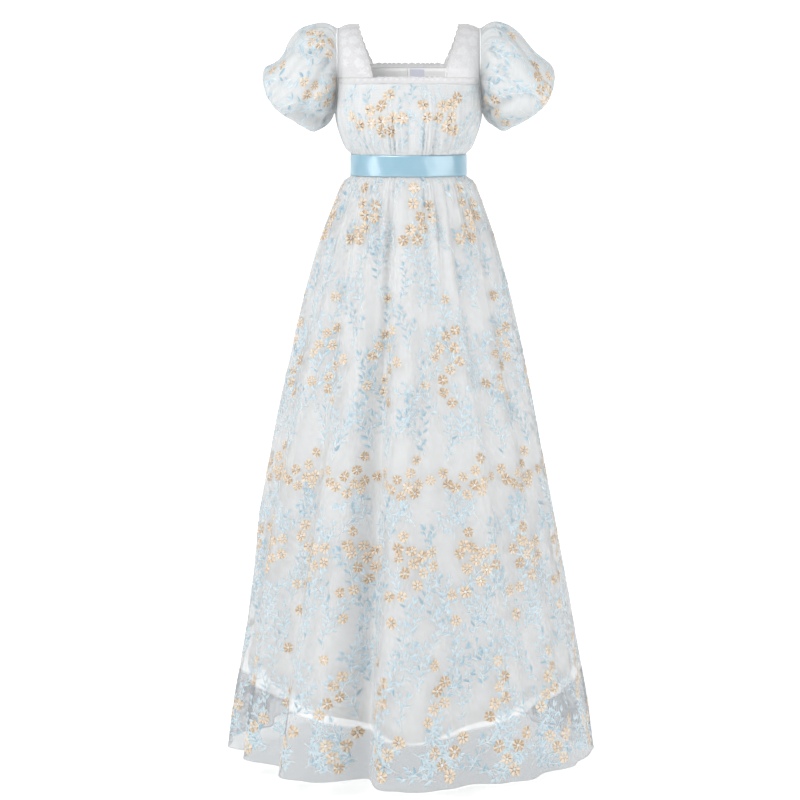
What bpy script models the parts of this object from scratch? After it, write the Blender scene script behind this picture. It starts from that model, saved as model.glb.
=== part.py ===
"""A high-waisted gown with puff sleeves, filled out as if worn, as one wall for each cut piece.

Metres, +Z up. The front faces -Y, and the wearer's left is at +X. The origin lies midway
between the shoulder straps, at the height where the shoulders carry them. Every table gives
heights as a drop below that level.
"""

import math
from collections import namedtuple

import bpy
import numpy as np

# Cloth
NET = 0.0010  # embroidered net
LINING = 0.0010
LACE = 0.0016
RIBBON = 0.0010
LABEL = 0.0008
SEAM = 0.0004  # room between two edges that are sewn to each other

# Heights, as drops below the shoulders
FRONT_NECK = 0.0970  # top of the lace edging in front
BACK_NECK = 0.0690
FRONT_EDGING = 0.0100  # width of the lace edging
BACK_EDGING = 0.0080
UNDERARM = 0.1620
WAIST_SEAM = 0.2630
RIBBON_TOP = 0.2425
RIBBON_FOOT = 0.2835
HEM = 1.4243
LINING_HEM_FRONT = 1.3350
LINING_HEM_RISE = 0.0800  # how much higher the lining's hem rides at the sides

# Rows and columns of the panels
FLAT_TOP, FLAT_FOOT = 0.2415, 0.2845  # between these drops the ribbon presses the gathers flat
BODICE_SHARES = (0, 0.42, 0.74, 0.90, 1.0)  # rows from the bodice's top to the ribbon
SKIRT_DROPS = (FLAT_FOOT, 0.2950, 0.3340, 0.4100, 0.5700, 0.8100, 1.1100)
ROW_ROOM = 0.0100  # the least room between two rows near a hem
NET_STEP, LINING_STEP = 0.25, 1 / 3  # columns, in gathers

# Places round the gown, counted in gathers: 0 and 28 at the centre back, 14 at the centre front
GATHERS = 28
CENTRE_FRONT = 14.0
SIDE_RIGHT = 7.0
SIDE_LEFT = 21.0
FRONT_CORNER = 5.75  # from the centre front to where the armhole starts
BACK_CORNER = 5.65  # from the centre back to where the armhole starts
STRAP_FRONT = 2.80  # from the centre front to the strap's inner edge
STRAP_BACK = 3.20

# The outline of the net over its ridges, at one drop: half width, depth to the front and back,
# and how square the section is (2 is an ellipse)
Section = namedtuple("Section", "drop half_width front back square")
FIGURE = [
    Section(0.0690, 0.1365, 0.1000, 0.0880, 2.80),
    Section(0.1070, 0.1380, 0.1070, 0.0920, 2.70),
    Section(0.1400, 0.1395, 0.1180, 0.0950, 2.50),
    Section(0.1630, 0.1410, 0.1230, 0.0960, 2.40),
    Section(0.1850, 0.1375, 0.1210, 0.0960, 2.30),
    Section(0.2100, 0.1290, 0.1150, 0.0940, 2.20),
    Section(0.2310, 0.1195, 0.1085, 0.0925, 2.15),
    Section(0.2415, 0.1114, 0.1025, 0.0890, 2.10),
    Section(0.2845, 0.1114, 0.1025, 0.0890, 2.10),
    Section(0.2950, 0.1225, 0.1110, 0.1010, 2.05),
    Section(0.3320, 0.1411, 0.1250, 0.1230, 2.00),
    Section(0.4100, 0.1706, 0.1430, 0.1500, 2.00),
    Section(0.5270, 0.2035, 0.1680, 0.1850, 2.00),
    Section(0.6850, 0.2379, 0.2000, 0.2220, 2.00),
    Section(0.8440, 0.2687, 0.2300, 0.2520, 2.00),
    Section(1.0050, 0.2988, 0.2580, 0.2800, 2.00),
    Section(1.1670, 0.3242, 0.2860, 0.3060, 2.00),
    Section(1.3310, 0.3538, 0.3120, 0.3300, 2.00),
    Section(1.4243, 0.3665, 0.3260, 0.3420, 2.00),
]

# Depth of the gathers' troughs, and the room from the net's ridges in to the lining
Layer = namedtuple("Layer", "drop gather room")
LAYERS = [
    Layer(0.0690, 0.0004, 0.0026),
    Layer(0.1070, 0.0008, 0.0030),
    Layer(0.1400, 0.0014, 0.0036),
    Layer(0.1900, 0.0034, 0.0058),
    Layer(0.2310, 0.0052, 0.0078),
    Layer(0.2415, 0.0008, 0.0025),
    Layer(0.2845, 0.0008, 0.0025),
    Layer(0.2950, 0.0025, 0.0050),
    Layer(0.3320, 0.0075, 0.0105),
    Layer(0.3750, 0.0105, 0.0135),
    Layer(0.4500, 0.0090, 0.0125),
    Layer(0.5600, 0.0050, 0.0105),
    Layer(0.7000, 0.0015, 0.0100),
    Layer(0.8000, 0.0000, 0.0100),
    Layer(1.4243, 0.0000, 0.0110),
]

# The skirt's large folds: where each valley starts and where it meets the hem, in degrees from
# the centre front towards the wearer's left, its depth at the hem, and how far its two sides reach
Fold = namedtuple("Fold", "angle_top angle_hem depth before after")
FOLDS = [
    Fold(-77.0, -80.0, 0.040, 4.5, 6.0),
    Fold(-44.0, -58.0, 0.058, 12.0, 8.0),
    Fold(-16.0, -18.5, 0.080, 13.0, 6.0),
    Fold(15.0, 24.0, 0.034, 9.0, 10.0),
    Fold(36.0, 53.0, 0.022, 7.0, 7.0),
    Fold(101.0, 100.0, 0.050, 7.0, 8.0),
    Fold(126.0, 123.0, 0.046, 10.0, 8.0),
    Fold(150.0, 147.0, 0.056, 9.0, 8.0),
    Fold(170.0, 171.0, 0.040, 7.0, 8.0),
    Fold(-166.0, -166.0, 0.052, 8.0, 8.0),
    Fold(-140.0, -143.0, 0.055, 9.0, 9.0),
    Fold(-114.0, -116.0, 0.048, 8.0, 9.0),
]
FOLD_START = 0.300  # drop where the folds begin to open
LINING_SOFTENS = 1.35  # the lining's folds are this much wider

# A shoulder strap between its two feet: its inner edge, its outer edge, and how far its middle
# is lifted off the straight line between them
Strap = namedtuple("Strap", "x_in y_in z_in x_out y_out z_out y_lift z_lift")
STRAP = [
    Strap(0.0755, -0.0900, -0.0700, 0.1350, -0.0450, -0.0700, -0.0110, 0.0030),
    Strap(0.0885, -0.0640, -0.0345, 0.1350, -0.0380, -0.0400, -0.0060, 0.0040),
    Strap(0.0955, -0.0320, -0.0070, 0.1350, -0.0240, -0.0140, -0.0020, 0.0035),
    Strap(0.0980, 0.0050, 0.0045, 0.1345, 0.0060, -0.0030, 0.0000, 0.0035),
    Strap(0.0955, 0.0400, -0.0080, 0.1340, 0.0350, -0.0150, 0.0020, 0.0035),
    Strap(0.0860, 0.0660, -0.0360, 0.1325, 0.0500, -0.0420, 0.0050, 0.0040),
]
STRAP_RISE = 0.0005  # from the edging's top up to the strap's foot
STRAP_ROWS = 32
STRAP_COLUMNS = 2
EDGE_STEPS = 13  # points along each quarter of an armhole
SCALLOP = 0.0022  # how far a lace scallop stands out

# A puff sleeve after its armhole: the highest and lowest point of each ring, its half depth from
# front to back, and how far its front and back hang out along the arm
Ring = namedtuple("Ring", "x_top z_top x_low z_low half_depth hang")
SLEEVE = [
    Ring(0.1520, 0.0030, 0.1480, -0.1710, 0.0700, 0.000),
    Ring(0.1750, 0.0060, 0.1620, -0.1900, 0.0880, 0.004),
    Ring(0.2080, -0.0090, 0.1780, -0.1990, 0.0960, 0.010),
    Ring(0.2420, -0.0460, 0.1910, -0.1970, 0.0940, 0.018),
    Ring(0.2740, -0.0730, 0.2020, -0.1880, 0.0840, 0.024),
    Ring(0.2790, -0.0960, 0.2030, -0.1760, 0.0680, 0.020),
    Ring(0.2640, -0.1040, 0.1950, -0.1670, 0.0530, 0.009),
    Ring(0.2490, -0.1020, 0.1870, -0.1640, 0.0440, 0.000),
]
SLEEVE_CENTRE_Y = 0.008
SLEEVE_COLUMNS = 36
CUFF_GATHER = 0.0045
HEAD_GATHER = 0.0020
SLEEVE_CLEAR = 0.0026  # from the armhole's edge out to the sleeve
SLEEVE_OVER = 0.0006  # how far the sleeve's seam stands over the armhole's edge

# Ribbon and label
RIBBON_CLEAR = 0.0006  # from the net's ridges out to the ribbon
RIBBON_COLUMNS = 72
LAP_FROM, LAP_TO = 28.0, 38.0  # degrees past the centre back, to each side
LAP_COLUMNS = 14
LABEL_WIDTH = 0.026
LABEL_TOP, LABEL_FOOT = 0.0790, 0.1080
LABEL_FROM_SEAM = 0.1  # in gathers
LABEL_COLUMNS = 5


def smooth(table, column, at):
    """One column of a table at the given drops, on a cubic that never overshoots its rows."""
    x = np.array([row.drop for row in table])
    y = np.array([getattr(row, column) for row in table])
    step = np.diff(x)
    slope = np.diff(y) / step
    tangent = np.concatenate([slope[:1], np.zeros(len(x) - 2), slope[-1:]])
    same_way = slope[:-1] * slope[1:] > 0
    early, late = slope[:-1][same_way], slope[1:][same_way]
    weight_a = (2 * step[1:] + step[:-1])[same_way]
    weight_b = (step[1:] + 2 * step[:-1])[same_way]
    tangent[1:-1][same_way] = (weight_a + weight_b) / (weight_a / early + weight_b / late)
    at = np.clip(at, x[0], x[-1])
    i = np.clip(np.searchsorted(x, at) - 1, 0, len(x) - 2)
    t = (at - x[i]) / step[i]
    return (
        y[i] * (1 + 2 * t) * (1 - t) ** 2
        + tangent[i] * step[i] * t * (1 - t) ** 2
        + y[i + 1] * t**2 * (3 - 2 * t)
        + tangent[i + 1] * step[i] * t**2 * (t - 1)
    )


def angle_of(u):
    """Angle from the centre front, in degrees, of a place counted in gathers. Gathers are uneven."""
    quarter = math.pi * u / SIDE_RIGHT
    return (u - CENTRE_FRONT) * 360 / GATHERS + 1.8 * np.sin(3 * quarter) + 1.2 * np.sin(5 * quarter)


def fold_depth(angle, drop, softer=1.0):
    """How far the skirt's large folds pull the cloth in."""
    grown = np.clip((drop - FOLD_START) / (HEM - FOLD_START), 0, 1) ** 0.9
    depth = np.zeros(np.broadcast(angle, drop).shape)
    for fold in FOLDS:
        middle = fold.angle_top + (fold.angle_hem - fold.angle_top) * grown
        away = (angle - middle + 180) % 360 - 180
        reach = np.where(away < 0, fold.before, fold.after) * softer
        depth = depth + fold.depth * grown * np.exp(-((away / reach) ** 2))
    return depth


def gather_depth(u, drop):
    """How far a trough between two gathers lies in from the ridges beside it."""
    turn = 2 * math.pi * u / GATHERS
    uneven = 0.78 + 0.14 * np.sin(9 * turn + 0.7) + 0.08 * np.sin(20 * turn)
    return smooth(LAYERS, "gather", drop) * uneven * (0.5 + 0.5 * np.cos(2 * np.pi * u))


def around(u, drop, inward):
    """Points of a layer at places u and drops, pulled in from the figure's outline."""
    angle = np.radians(angle_of(u))
    across, ahead = np.sin(angle), np.cos(angle)
    depth = np.where(ahead > 0, smooth(FIGURE, "front", drop), smooth(FIGURE, "back", drop))
    square = smooth(FIGURE, "square", drop)
    side = np.abs(across / smooth(FIGURE, "half_width", drop)) ** square
    radius = (side + np.abs(ahead / depth) ** square) ** (-1 / square) - inward
    return np.stack(np.broadcast_arrays(radius * across, -radius * ahead, -drop), axis=-1)


def net(u, drop):
    """The outer face of the embroidered net."""
    return around(u, drop, gather_depth(u, drop) + fold_depth(angle_of(u), drop))


def lining(u, drop):
    """The outer face of the lining, inside the net."""
    room = smooth(LAYERS, "room", drop)
    return around(u, drop, room + fold_depth(angle_of(u), drop, LINING_SOFTENS))


def lining_hem(u):
    """Drop of the lining's hem, which rides up at the sides."""
    return LINING_HEM_FRONT - LINING_HEM_RISE * np.abs(np.sin(np.radians(angle_of(u)))) ** 1.5


def bodice_top(u):
    """Drop of the bodice's upper edge: the two necklines, and the armholes between them."""
    from_front = np.abs(u - CENTRE_FRONT)
    from_back = GATHERS / 2 - from_front
    quarter = GATHERS / 4
    front_neck = FRONT_NECK + FRONT_EDGING + SEAM
    back_neck = BACK_NECK + BACK_EDGING + SEAM
    front_fall = np.clip((from_front - FRONT_CORNER) / (quarter - FRONT_CORNER), 0, 1)
    back_fall = np.clip((from_back - BACK_CORNER) / (quarter - BACK_CORNER), 0, 1)
    front = front_neck + (UNDERARM - front_neck) * np.sin(front_fall * math.pi / 2)
    back = back_neck + (UNDERARM - back_neck) * np.sin(back_fall * math.pi / 2)
    return np.where(from_front <= quarter, front, back)


def places(first, last, step, past=0):
    """Places of the columns from one seam to another, and of a few more past them."""
    count = round((last - first) / step)
    return first + (last - first) / count * np.arange(-past, count + past + 1)


def unit(vectors):
    """The same directions at length 1."""
    return vectors / np.linalg.norm(vectors, axis=-1, keepdims=True)


def part_seams(points, thickness):
    """Drops the columns past a panel's two seams, and draws its own last ones in from them.

    Where the cloth bends round a ridge at the seam, the inner edges lean towards each other, so
    the outer edges are drawn in further.
    """
    panel = points[:, 1:-1].copy()
    for end, beside, past in ((0, 1, 0), (-1, -2, -1)):
        along = unit(panel[:, beside] - panel[:, end])
        through = unit(panel[:, beside] - points[:, past])
        lean = np.linalg.norm(np.cross(along, through), axis=-1, keepdims=True)
        panel[:, end] += along * (SEAM / 2 + thickness * lean)
    return panel


def rounded(points, before, after, t):
    """A point on the curve through rows of points, at row t, with Catmull-Rom tangents."""
    rows = [before, *points, after]
    i = min(int(t), len(points) - 2)
    s = t - i
    a, b, c, d = (rows[i + k] for k in range(4))
    return 0.5 * (
        2 * b + (c - a) * s + (2 * a - 5 * b + 4 * c - d) * s**2 + (3 * b - a - 3 * c + d) * s**3
    )


def strap_foot(inner, outer, neck):
    """The strap's end, which stands on the lace edging between two places."""
    u = np.linspace(inner, outer, STRAP_COLUMNS + 1)
    return around(u, neck - STRAP_RISE + 0 * u, 0.0)


def strap_lines():
    """Lines of points across the strap: its front foot, the table's rows and its back foot."""
    s = np.linspace(0, 1, STRAP_COLUMNS + 1)[:, None]
    lines = [strap_foot(CENTRE_FRONT + STRAP_FRONT, CENTRE_FRONT + FRONT_CORNER, FRONT_NECK)]
    for row in STRAP:
        inner = np.array([row.x_in, row.y_in, row.z_in])
        outer = np.array([row.x_out, row.y_out, row.z_out])
        lift = np.array([0, row.y_lift, row.z_lift])
        lines.append(inner + (outer - inner) * s + lift * 4 * s * (1 - s))
    lines.append(strap_foot(GATHERS - STRAP_BACK, GATHERS - BACK_CORNER, BACK_NECK))
    return lines


def strap_row(t):
    """Points across the strap at t, from 0 at its front foot to 1 at its back foot."""
    lines = strap_lines()
    before = 2 * lines[0] - lines[1]
    after = 2 * lines[-1] - lines[-2]
    return rounded(lines, before, after, t * (len(lines) - 1))


def strap_points():
    """The strap's outer face, with a scalloped inner edge."""
    rows = []
    for i in range(STRAP_ROWS + 1):
        row = strap_row(i / STRAP_ROWS)
        wave = SCALLOP * (i % 2) * (0 < i < STRAP_ROWS)
        row[0] -= unit(row[-1] - row[0]) * wave
        rows.append(row)
    return np.array(rows)


def armhole():
    """The armhole's edge as a closed line, from the top of the strap forward, down and back up."""
    over = [strap_row(t)[-1] for t in np.linspace(0.5, 0, EDGE_STEPS)]
    front = np.linspace(CENTRE_FRONT + FRONT_CORNER, SIDE_LEFT, EDGE_STEPS)
    back = np.linspace(SIDE_LEFT, GATHERS - BACK_CORNER, EDGE_STEPS)
    under = [net(u, bodice_top(u)) for u in np.concatenate([front, back[1:]])]
    behind = [strap_row(t)[-1] for t in np.linspace(1, 0.5, EDGE_STEPS)[:-1]]
    return np.array([*over, *under, *behind])


def armhole_ring():
    """The armhole's edge in equal steps, moved out along the arm and away from its middle."""
    line = armhole()
    line = np.concatenate([line, line[:1]])
    gone = np.concatenate([[0], np.cumsum(np.linalg.norm(np.diff(line, axis=0), axis=1))])
    steps = np.linspace(0, gone[-1], SLEEVE_COLUMNS, endpoint=False)
    ring = np.stack([np.interp(steps, gone, line[:, k]) for k in range(3)], axis=-1)
    away = (ring - ring.mean(axis=0)) * (0, 1, 1)
    return ring + unit(away) * SLEEVE_OVER + (SLEEVE_CLEAR, 0, 0)


def sleeve_points():
    """The left sleeve's outer face: one row of points for each ring, armhole first."""
    turn = np.linspace(0, 2 * math.pi, SLEEVE_COLUMNS, endpoint=False)
    ripple = np.where(np.arange(SLEEVE_COLUMNS) % 2, 1.0, -1.0)
    rows = [armhole_ring()]
    for i, ring in enumerate(SLEEVE):
        top = np.array([ring.x_top, SLEEVE_CENTRE_Y, ring.z_top])
        low = np.array([ring.x_low, SLEEVE_CENTRE_Y, ring.z_low])
        up = (top - low) / 2
        out = unit(np.array([up[2], 0, -up[0]]))
        to_cuff = max(0, i - 3) / (len(SLEEVE) - 4)
        gather = 1 + ripple * (CUFF_GATHER * to_cuff + HEAD_GATHER * (i == 0)) / np.linalg.norm(up)
        rows.append(
            (top + low) / 2
            + up * (np.cos(turn) * gather)[:, None]
            + np.array([0, -ring.half_depth, 0]) * (np.sin(turn) * gather)[:, None]
            + out * ring.hang * (np.sin(turn) ** 2)[:, None]
        )
    return np.array(rows)


def material(name, colour, roughness, sheen=0.0):
    """A plain Principled material."""
    made = bpy.data.materials.new(name)
    made.use_nodes = True
    shader = made.node_tree.nodes["Principled BSDF"]
    shader.inputs["Base Color"].default_value = (*colour, 1.0)
    shader.inputs["Roughness"].default_value = roughness
    shader.inputs["Metallic"].default_value = 0.0
    shader.inputs["Sheen Weight"].default_value = sheen
    return made


def wall(name, points, thickness, finish, holder, ring=False, flip=False):
    """A cloth wall: a grid of points on its outer face, thickened inward with Solidify."""
    rows, columns = points.shape[:2]
    index = np.arange(rows * columns).reshape(rows, columns)
    right = np.roll(index, -1, axis=1)
    last = columns if ring else columns - 1
    faces = []
    for r in range(rows - 1):
        for c in range(last):
            face = [index[r, c], index[r + 1, c], right[r + 1, c], right[r, c]]
            faces.append([int(v) for v in (reversed(face) if flip else face)])
    mesh = bpy.data.meshes.new(name)
    mesh.from_pydata(points.reshape(-1, 3).tolist(), [], faces)
    mesh.materials.append(finish)
    mesh.shade_smooth()
    made = bpy.data.objects.new(name, mesh)
    bpy.data.collections["gown"].objects.link(made)
    made.parent = holder
    thicken = made.modifiers.new("thickness", "SOLIDIFY")
    thicken.thickness = thickness
    thicken.offset = -1.0
    return made


def bodice_drops(u):
    """Drops of the bodice's rows: spread from its top to the ribbon, then one at the waist seam."""
    top = bodice_top(u)
    spread = top + (FLAT_TOP - top) * np.array(BODICE_SHARES)[:, None]
    return np.concatenate([spread, np.full((1, len(u)), WAIST_SEAM - SEAM / 2)])


def skirt_drops(u, hem):
    """Drops of the skirt's rows down to a hem, as deep as the hem lets each be."""
    rows = [WAIST_SEAM + SEAM / 2, *SKIRT_DROPS]
    drops = [np.minimum(drop, hem - ROW_ROOM * (len(rows) - i)) for i, drop in enumerate(rows)]
    return np.array([*drops, hem])


def net_skirt_drops(u):
    """Drops of the rows of the skirt's net, down to the gown's hem."""
    return skirt_drops(u, np.full(len(u), HEM))


def lining_skirt_drops(u):
    """Drops of the rows of the skirt's lining, down to its own hem."""
    return skirt_drops(u, lining_hem(u))


def make_panels(holder, name, step, drops_at, face, thickness, finish):
    """A front and two backs, cut apart at the sides and at the centre back."""
    for side, first, last in (
        ("front", SIDE_RIGHT, SIDE_LEFT),
        ("back_left", SIDE_LEFT, float(GATHERS)),
        ("back_right", 0.0, SIDE_RIGHT),
    ):
        u = places(first, last, step, past=1)
        drops = drops_at(u)
        points = face(np.broadcast_to(u, drops.shape), drops)
        wall(f"{name}_{side}", part_seams(points, thickness), thickness, finish, holder)


def make_net(holder, finish):
    """The embroidered net: a bodice and a skirt, both gathered at the waist seam."""
    make_panels(holder, "bodice", NET_STEP, bodice_drops, net, NET, finish)
    make_panels(holder, "skirt", NET_STEP, net_skirt_drops, net, NET, finish)


def make_lining(holder, finish):
    """The plain lining that shows through the net, shorter than the net at the hem."""
    make_panels(holder, "bodice_lining", LINING_STEP, bodice_drops, lining, LINING, finish)
    make_panels(
        holder, "skirt_lining", LINING_STEP, lining_skirt_drops, lining, LINING, finish
    )


def make_edging(holder, finish):
    """The lace edging along the two necklines, scalloped where no strap stands on it."""
    for name, middle, half, strap, neck, width in (
        ("neck_edging_front", CENTRE_FRONT, FRONT_CORNER, STRAP_FRONT, FRONT_NECK, FRONT_EDGING),
        ("neck_edging_back", 0.0, BACK_CORNER, STRAP_BACK, BACK_NECK, BACK_EDGING),
    ):
        u = places(middle - half, middle + half, NET_STEP)
        free = np.abs(u - middle) < strap - 0.3
        wave = SCALLOP * (np.arange(len(u)) % 2) * free
        drops = np.array([neck - wave, np.full(len(u), neck + width)])
        points = around(np.broadcast_to(u, drops.shape), drops, 0.0)
        wall(name, points, LACE, finish, holder)


def make_straps(holder, finish):
    """The two lace shoulder straps."""
    points = strap_points()
    wall("strap_left", points, LACE, finish, holder)
    wall("strap_right", points * (-1, 1, 1), LACE, finish, holder, flip=True)


def make_sleeves(holder, finish):
    """The two puff sleeves, gathered at the armhole and drawn in at the cuff."""
    points = sleeve_points()
    wall("sleeve_left", points, NET, finish, holder, ring=True)
    wall("sleeve_right", points * (-1, 1, 1), NET, finish, holder, ring=True, flip=True)


def make_ribbon(holder, finish):
    """The satin ribbon round the high waist, and the end that laps over it at the back."""
    out = -(RIBBON_CLEAR + RIBBON)
    u = np.linspace(0, GATHERS, RIBBON_COLUMNS, endpoint=False)
    drops = np.array([RIBBON_TOP, RIBBON_FOOT])[:, None] + 0 * u
    points = around(np.broadcast_to(u, drops.shape), drops, out)
    wall("ribbon", points, RIBBON, finish, holder, ring=True)
    u = np.linspace(-LAP_FROM, LAP_TO, LAP_COLUMNS) / 360 * GATHERS
    drops = np.array([RIBBON_TOP + SEAM, RIBBON_FOOT - SEAM])[:, None] + 0 * u
    points = around(np.broadcast_to(u, drops.shape), drops, out - RIBBON - SEAM)
    wall("ribbon_lap", points, RIBBON, finish, holder)


def make_label(holder, finish):
    """A blank label inside the back neck, beside the centre back seam."""
    room = smooth(LAYERS, "room", np.array([LABEL_TOP]))[0]
    inward = room + LINING + 2 * SEAM
    back = smooth(FIGURE, "back", np.array([LABEL_TOP]))[0] - inward
    width = math.degrees(LABEL_WIDTH / back) / 360 * GATHERS
    u = GATHERS - np.linspace(width + LABEL_FROM_SEAM, LABEL_FROM_SEAM, LABEL_COLUMNS)
    drops = np.array([LABEL_TOP, LABEL_FOOT])[:, None] + 0 * u
    points = around(np.broadcast_to(u, drops.shape), drops, inward + SEAM)
    wall("neck_label", points, LABEL, finish, holder)


def main():
    """Clears the scene and builds every piece under one empty."""
    for old in list(bpy.data.objects):
        bpy.data.objects.remove(old)
    gown = bpy.data.collections.new("gown")
    bpy.context.scene.collection.children.link(gown)
    holder = bpy.data.objects.new("gown_origin", None)
    gown.objects.link(holder)
    net_finish = material("embroidered_net", (0.72, 0.84, 0.90), 0.65, 0.3)
    lining_finish = material("lining", (0.86, 0.87, 0.88), 0.55)
    lace_finish = material("lace", (0.84, 0.84, 0.86), 0.8)
    ribbon_finish = material("satin_ribbon", (0.40, 0.66, 0.80), 0.3)
    label_finish = material("label", (0.84, 0.84, 0.92), 0.6)
    make_net(holder, net_finish)
    make_lining(holder, lining_finish)
    make_sleeves(holder, net_finish)
    make_straps(holder, lace_finish)
    make_edging(holder, lace_finish)
    make_ribbon(holder, ribbon_finish)
    make_label(holder, label_finish)


main()
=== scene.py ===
"""The looks of a high-waisted gown, filled out as if worn, with its embroidery, lace and ribbon.

Metres, +Z up. The front faces -Y, and the wearer's left is at +X. The origin lies midway
between the shoulder straps. Heights are drops below that level, apart from the rows of the
straps and the sleeves, which give places in metres.
"""

import math
from collections import namedtuple

import bpy
import numpy as np
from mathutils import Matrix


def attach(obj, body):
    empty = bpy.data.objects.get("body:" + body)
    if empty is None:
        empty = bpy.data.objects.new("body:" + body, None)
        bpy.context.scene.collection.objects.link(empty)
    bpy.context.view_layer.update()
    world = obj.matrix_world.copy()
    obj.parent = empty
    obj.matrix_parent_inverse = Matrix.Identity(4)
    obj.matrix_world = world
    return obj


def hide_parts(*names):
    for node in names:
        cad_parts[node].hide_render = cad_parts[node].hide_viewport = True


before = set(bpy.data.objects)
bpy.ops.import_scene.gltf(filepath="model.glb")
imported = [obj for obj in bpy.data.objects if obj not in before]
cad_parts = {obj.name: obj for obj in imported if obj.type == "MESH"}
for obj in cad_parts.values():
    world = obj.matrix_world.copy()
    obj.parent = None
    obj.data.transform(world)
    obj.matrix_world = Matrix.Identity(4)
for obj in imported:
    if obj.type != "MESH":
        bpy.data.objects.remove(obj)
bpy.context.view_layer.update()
rng = np.random.default_rng(7)


def named(fields, *rows):
    """A table whose rows have named fields."""
    row = namedtuple("Row", fields)
    return [row(*values) for values in rows]


# Thickness of each cloth, as fine as the real one
NET = 0.0004
LINING = 0.0005
LACE = 0.0012
RIBBON = 0.0007
LABEL = 0.0006
SOLID_LACE = 0.0016  # walls of the solids that these pieces replace
SOLID_NET = 0.001
SEAM = 0.0004

# Heights, as drops below the shoulders
FRONT_NECK = 0.097
BACK_NECK = 0.069
FRONT_EDGING = 0.01
BACK_EDGING = 0.008
UNDERARM = 0.162
BODICE_FOOT = 0.2415
WAIST_SEAM = 0.263
RIBBON_TOP = 0.2425
RIBBON_FOOT = 0.2835
HEM = 1.4243
LINING_HEM_FRONT = 1.335
LINING_HEM_RISE = 0.08
LINING_HEM_DEEP = 0.02  # the doubled band along the lining's hem
HEM_HALF_WIDTH = 0.355
SHEER_REACH = 0.006  # how gradually the net's painted shade and painted glow come in at the lining's hem

# Places round the gown, counted in gathers: 0 and 28 at the centre back, 14 at the centre front
GATHERS = 28
CENTRE_FRONT = 14.0
SIDE_RIGHT = 7.0
SIDE_LEFT = 21.0
FRONT_CORNER = 5.75
BACK_CORNER = 5.65
STRAP_FRONT = 2.8
STRAP_BACK = 3.2
BACK_SEAMS = (0.12, GATHERS - 0.12)

# Columns of the grids in each gather, and their rows. The skirt has three stretches of rows,
# each with its first drop, its last drop and its number of rows.
NET_COLUMNS = 16
LINING_COLUMNS = 8
SKIRT_ROWS = ((WAIST_SEAM + SEAM / 2, 0.2845, 4), (0.288, 0.44, 30), (0.45, HEM, 92))
LINING_ROWS = 72
HEM_BAND_ROWS = 5
BODICE_ROWS = 40
BODICE_LINING_ROWS = 24
EDGING_ROWS = 9
ROLLED_HEM = 0.0012

FIGURE = named(
    "drop half_width front back square",
    (0.069, 0.1365, 0.1, 0.088, 2.8), (0.107, 0.138, 0.107, 0.092, 2.7),
    (0.14, 0.1395, 0.118, 0.095, 2.5), (0.163, 0.141, 0.123, 0.096, 2.4),
    (0.185, 0.1375, 0.121, 0.096, 2.3), (0.21, 0.129, 0.115, 0.094, 2.2),
    (0.231, 0.1195, 0.1085, 0.0925, 2.15), (0.2415, 0.1114, 0.1025, 0.089, 2.1),
    (0.2845, 0.1114, 0.1025, 0.089, 2.1), (0.295, 0.1225, 0.111, 0.101, 2.05),
    (0.332, 0.1411, 0.125, 0.123, 2), (0.41, 0.1706, 0.143, 0.15, 2),
    (0.527, 0.2035, 0.168, 0.185, 2), (0.685, 0.2379, 0.2, 0.222, 2),
    (0.844, 0.2687, 0.23, 0.252, 2), (1.005, 0.2988, 0.258, 0.28, 2),
    (1.167, 0.3242, 0.286, 0.306, 2), (1.331, 0.3538, 0.312, 0.33, 2),
    (1.4243, 0.3665, 0.326, 0.342, 2),
)
LAYERS = named(
    "drop gather room",
    (0.069, 0.0004, 0.0026), (0.107, 0.0008, 0.003), (0.14, 0.0014, 0.0036),
    (0.19, 0.0034, 0.0058), (0.231, 0.0052, 0.0078), (0.2415, 0.0008, 0.0025),
    (0.2845, 0.0008, 0.0025), (0.295, 0.0025, 0.005), (0.332, 0.0075, 0.0105),
    (0.375, 0.0105, 0.0135), (0.45, 0.009, 0.0125), (0.56, 0.005, 0.0105),
    (0.7, 0.0015, 0.01), (0.8, 0, 0.01), (1.4243, 0, 0.011),
)
FOLDS = named(
    "angle_top angle_hem depth before after",
    (-77, -80, 0.04, 4.5, 6), (-44, -58, 0.058, 12, 8), (-16, -18.5, 0.08, 13, 6),
    (15, 24, 0.034, 9, 10), (36, 53, 0.022, 7, 7), (101, 100, 0.05, 7, 8),
    (126, 123, 0.046, 10, 8), (150, 147, 0.056, 9, 8), (170, 171, 0.04, 7, 8),
    (-166, -166, 0.052, 8, 8), (-140, -143, 0.055, 9, 9), (-114, -116, 0.048, 8, 9),
)
FOLD_START = 0.3
LINING_SOFTENS = 1.35

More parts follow.
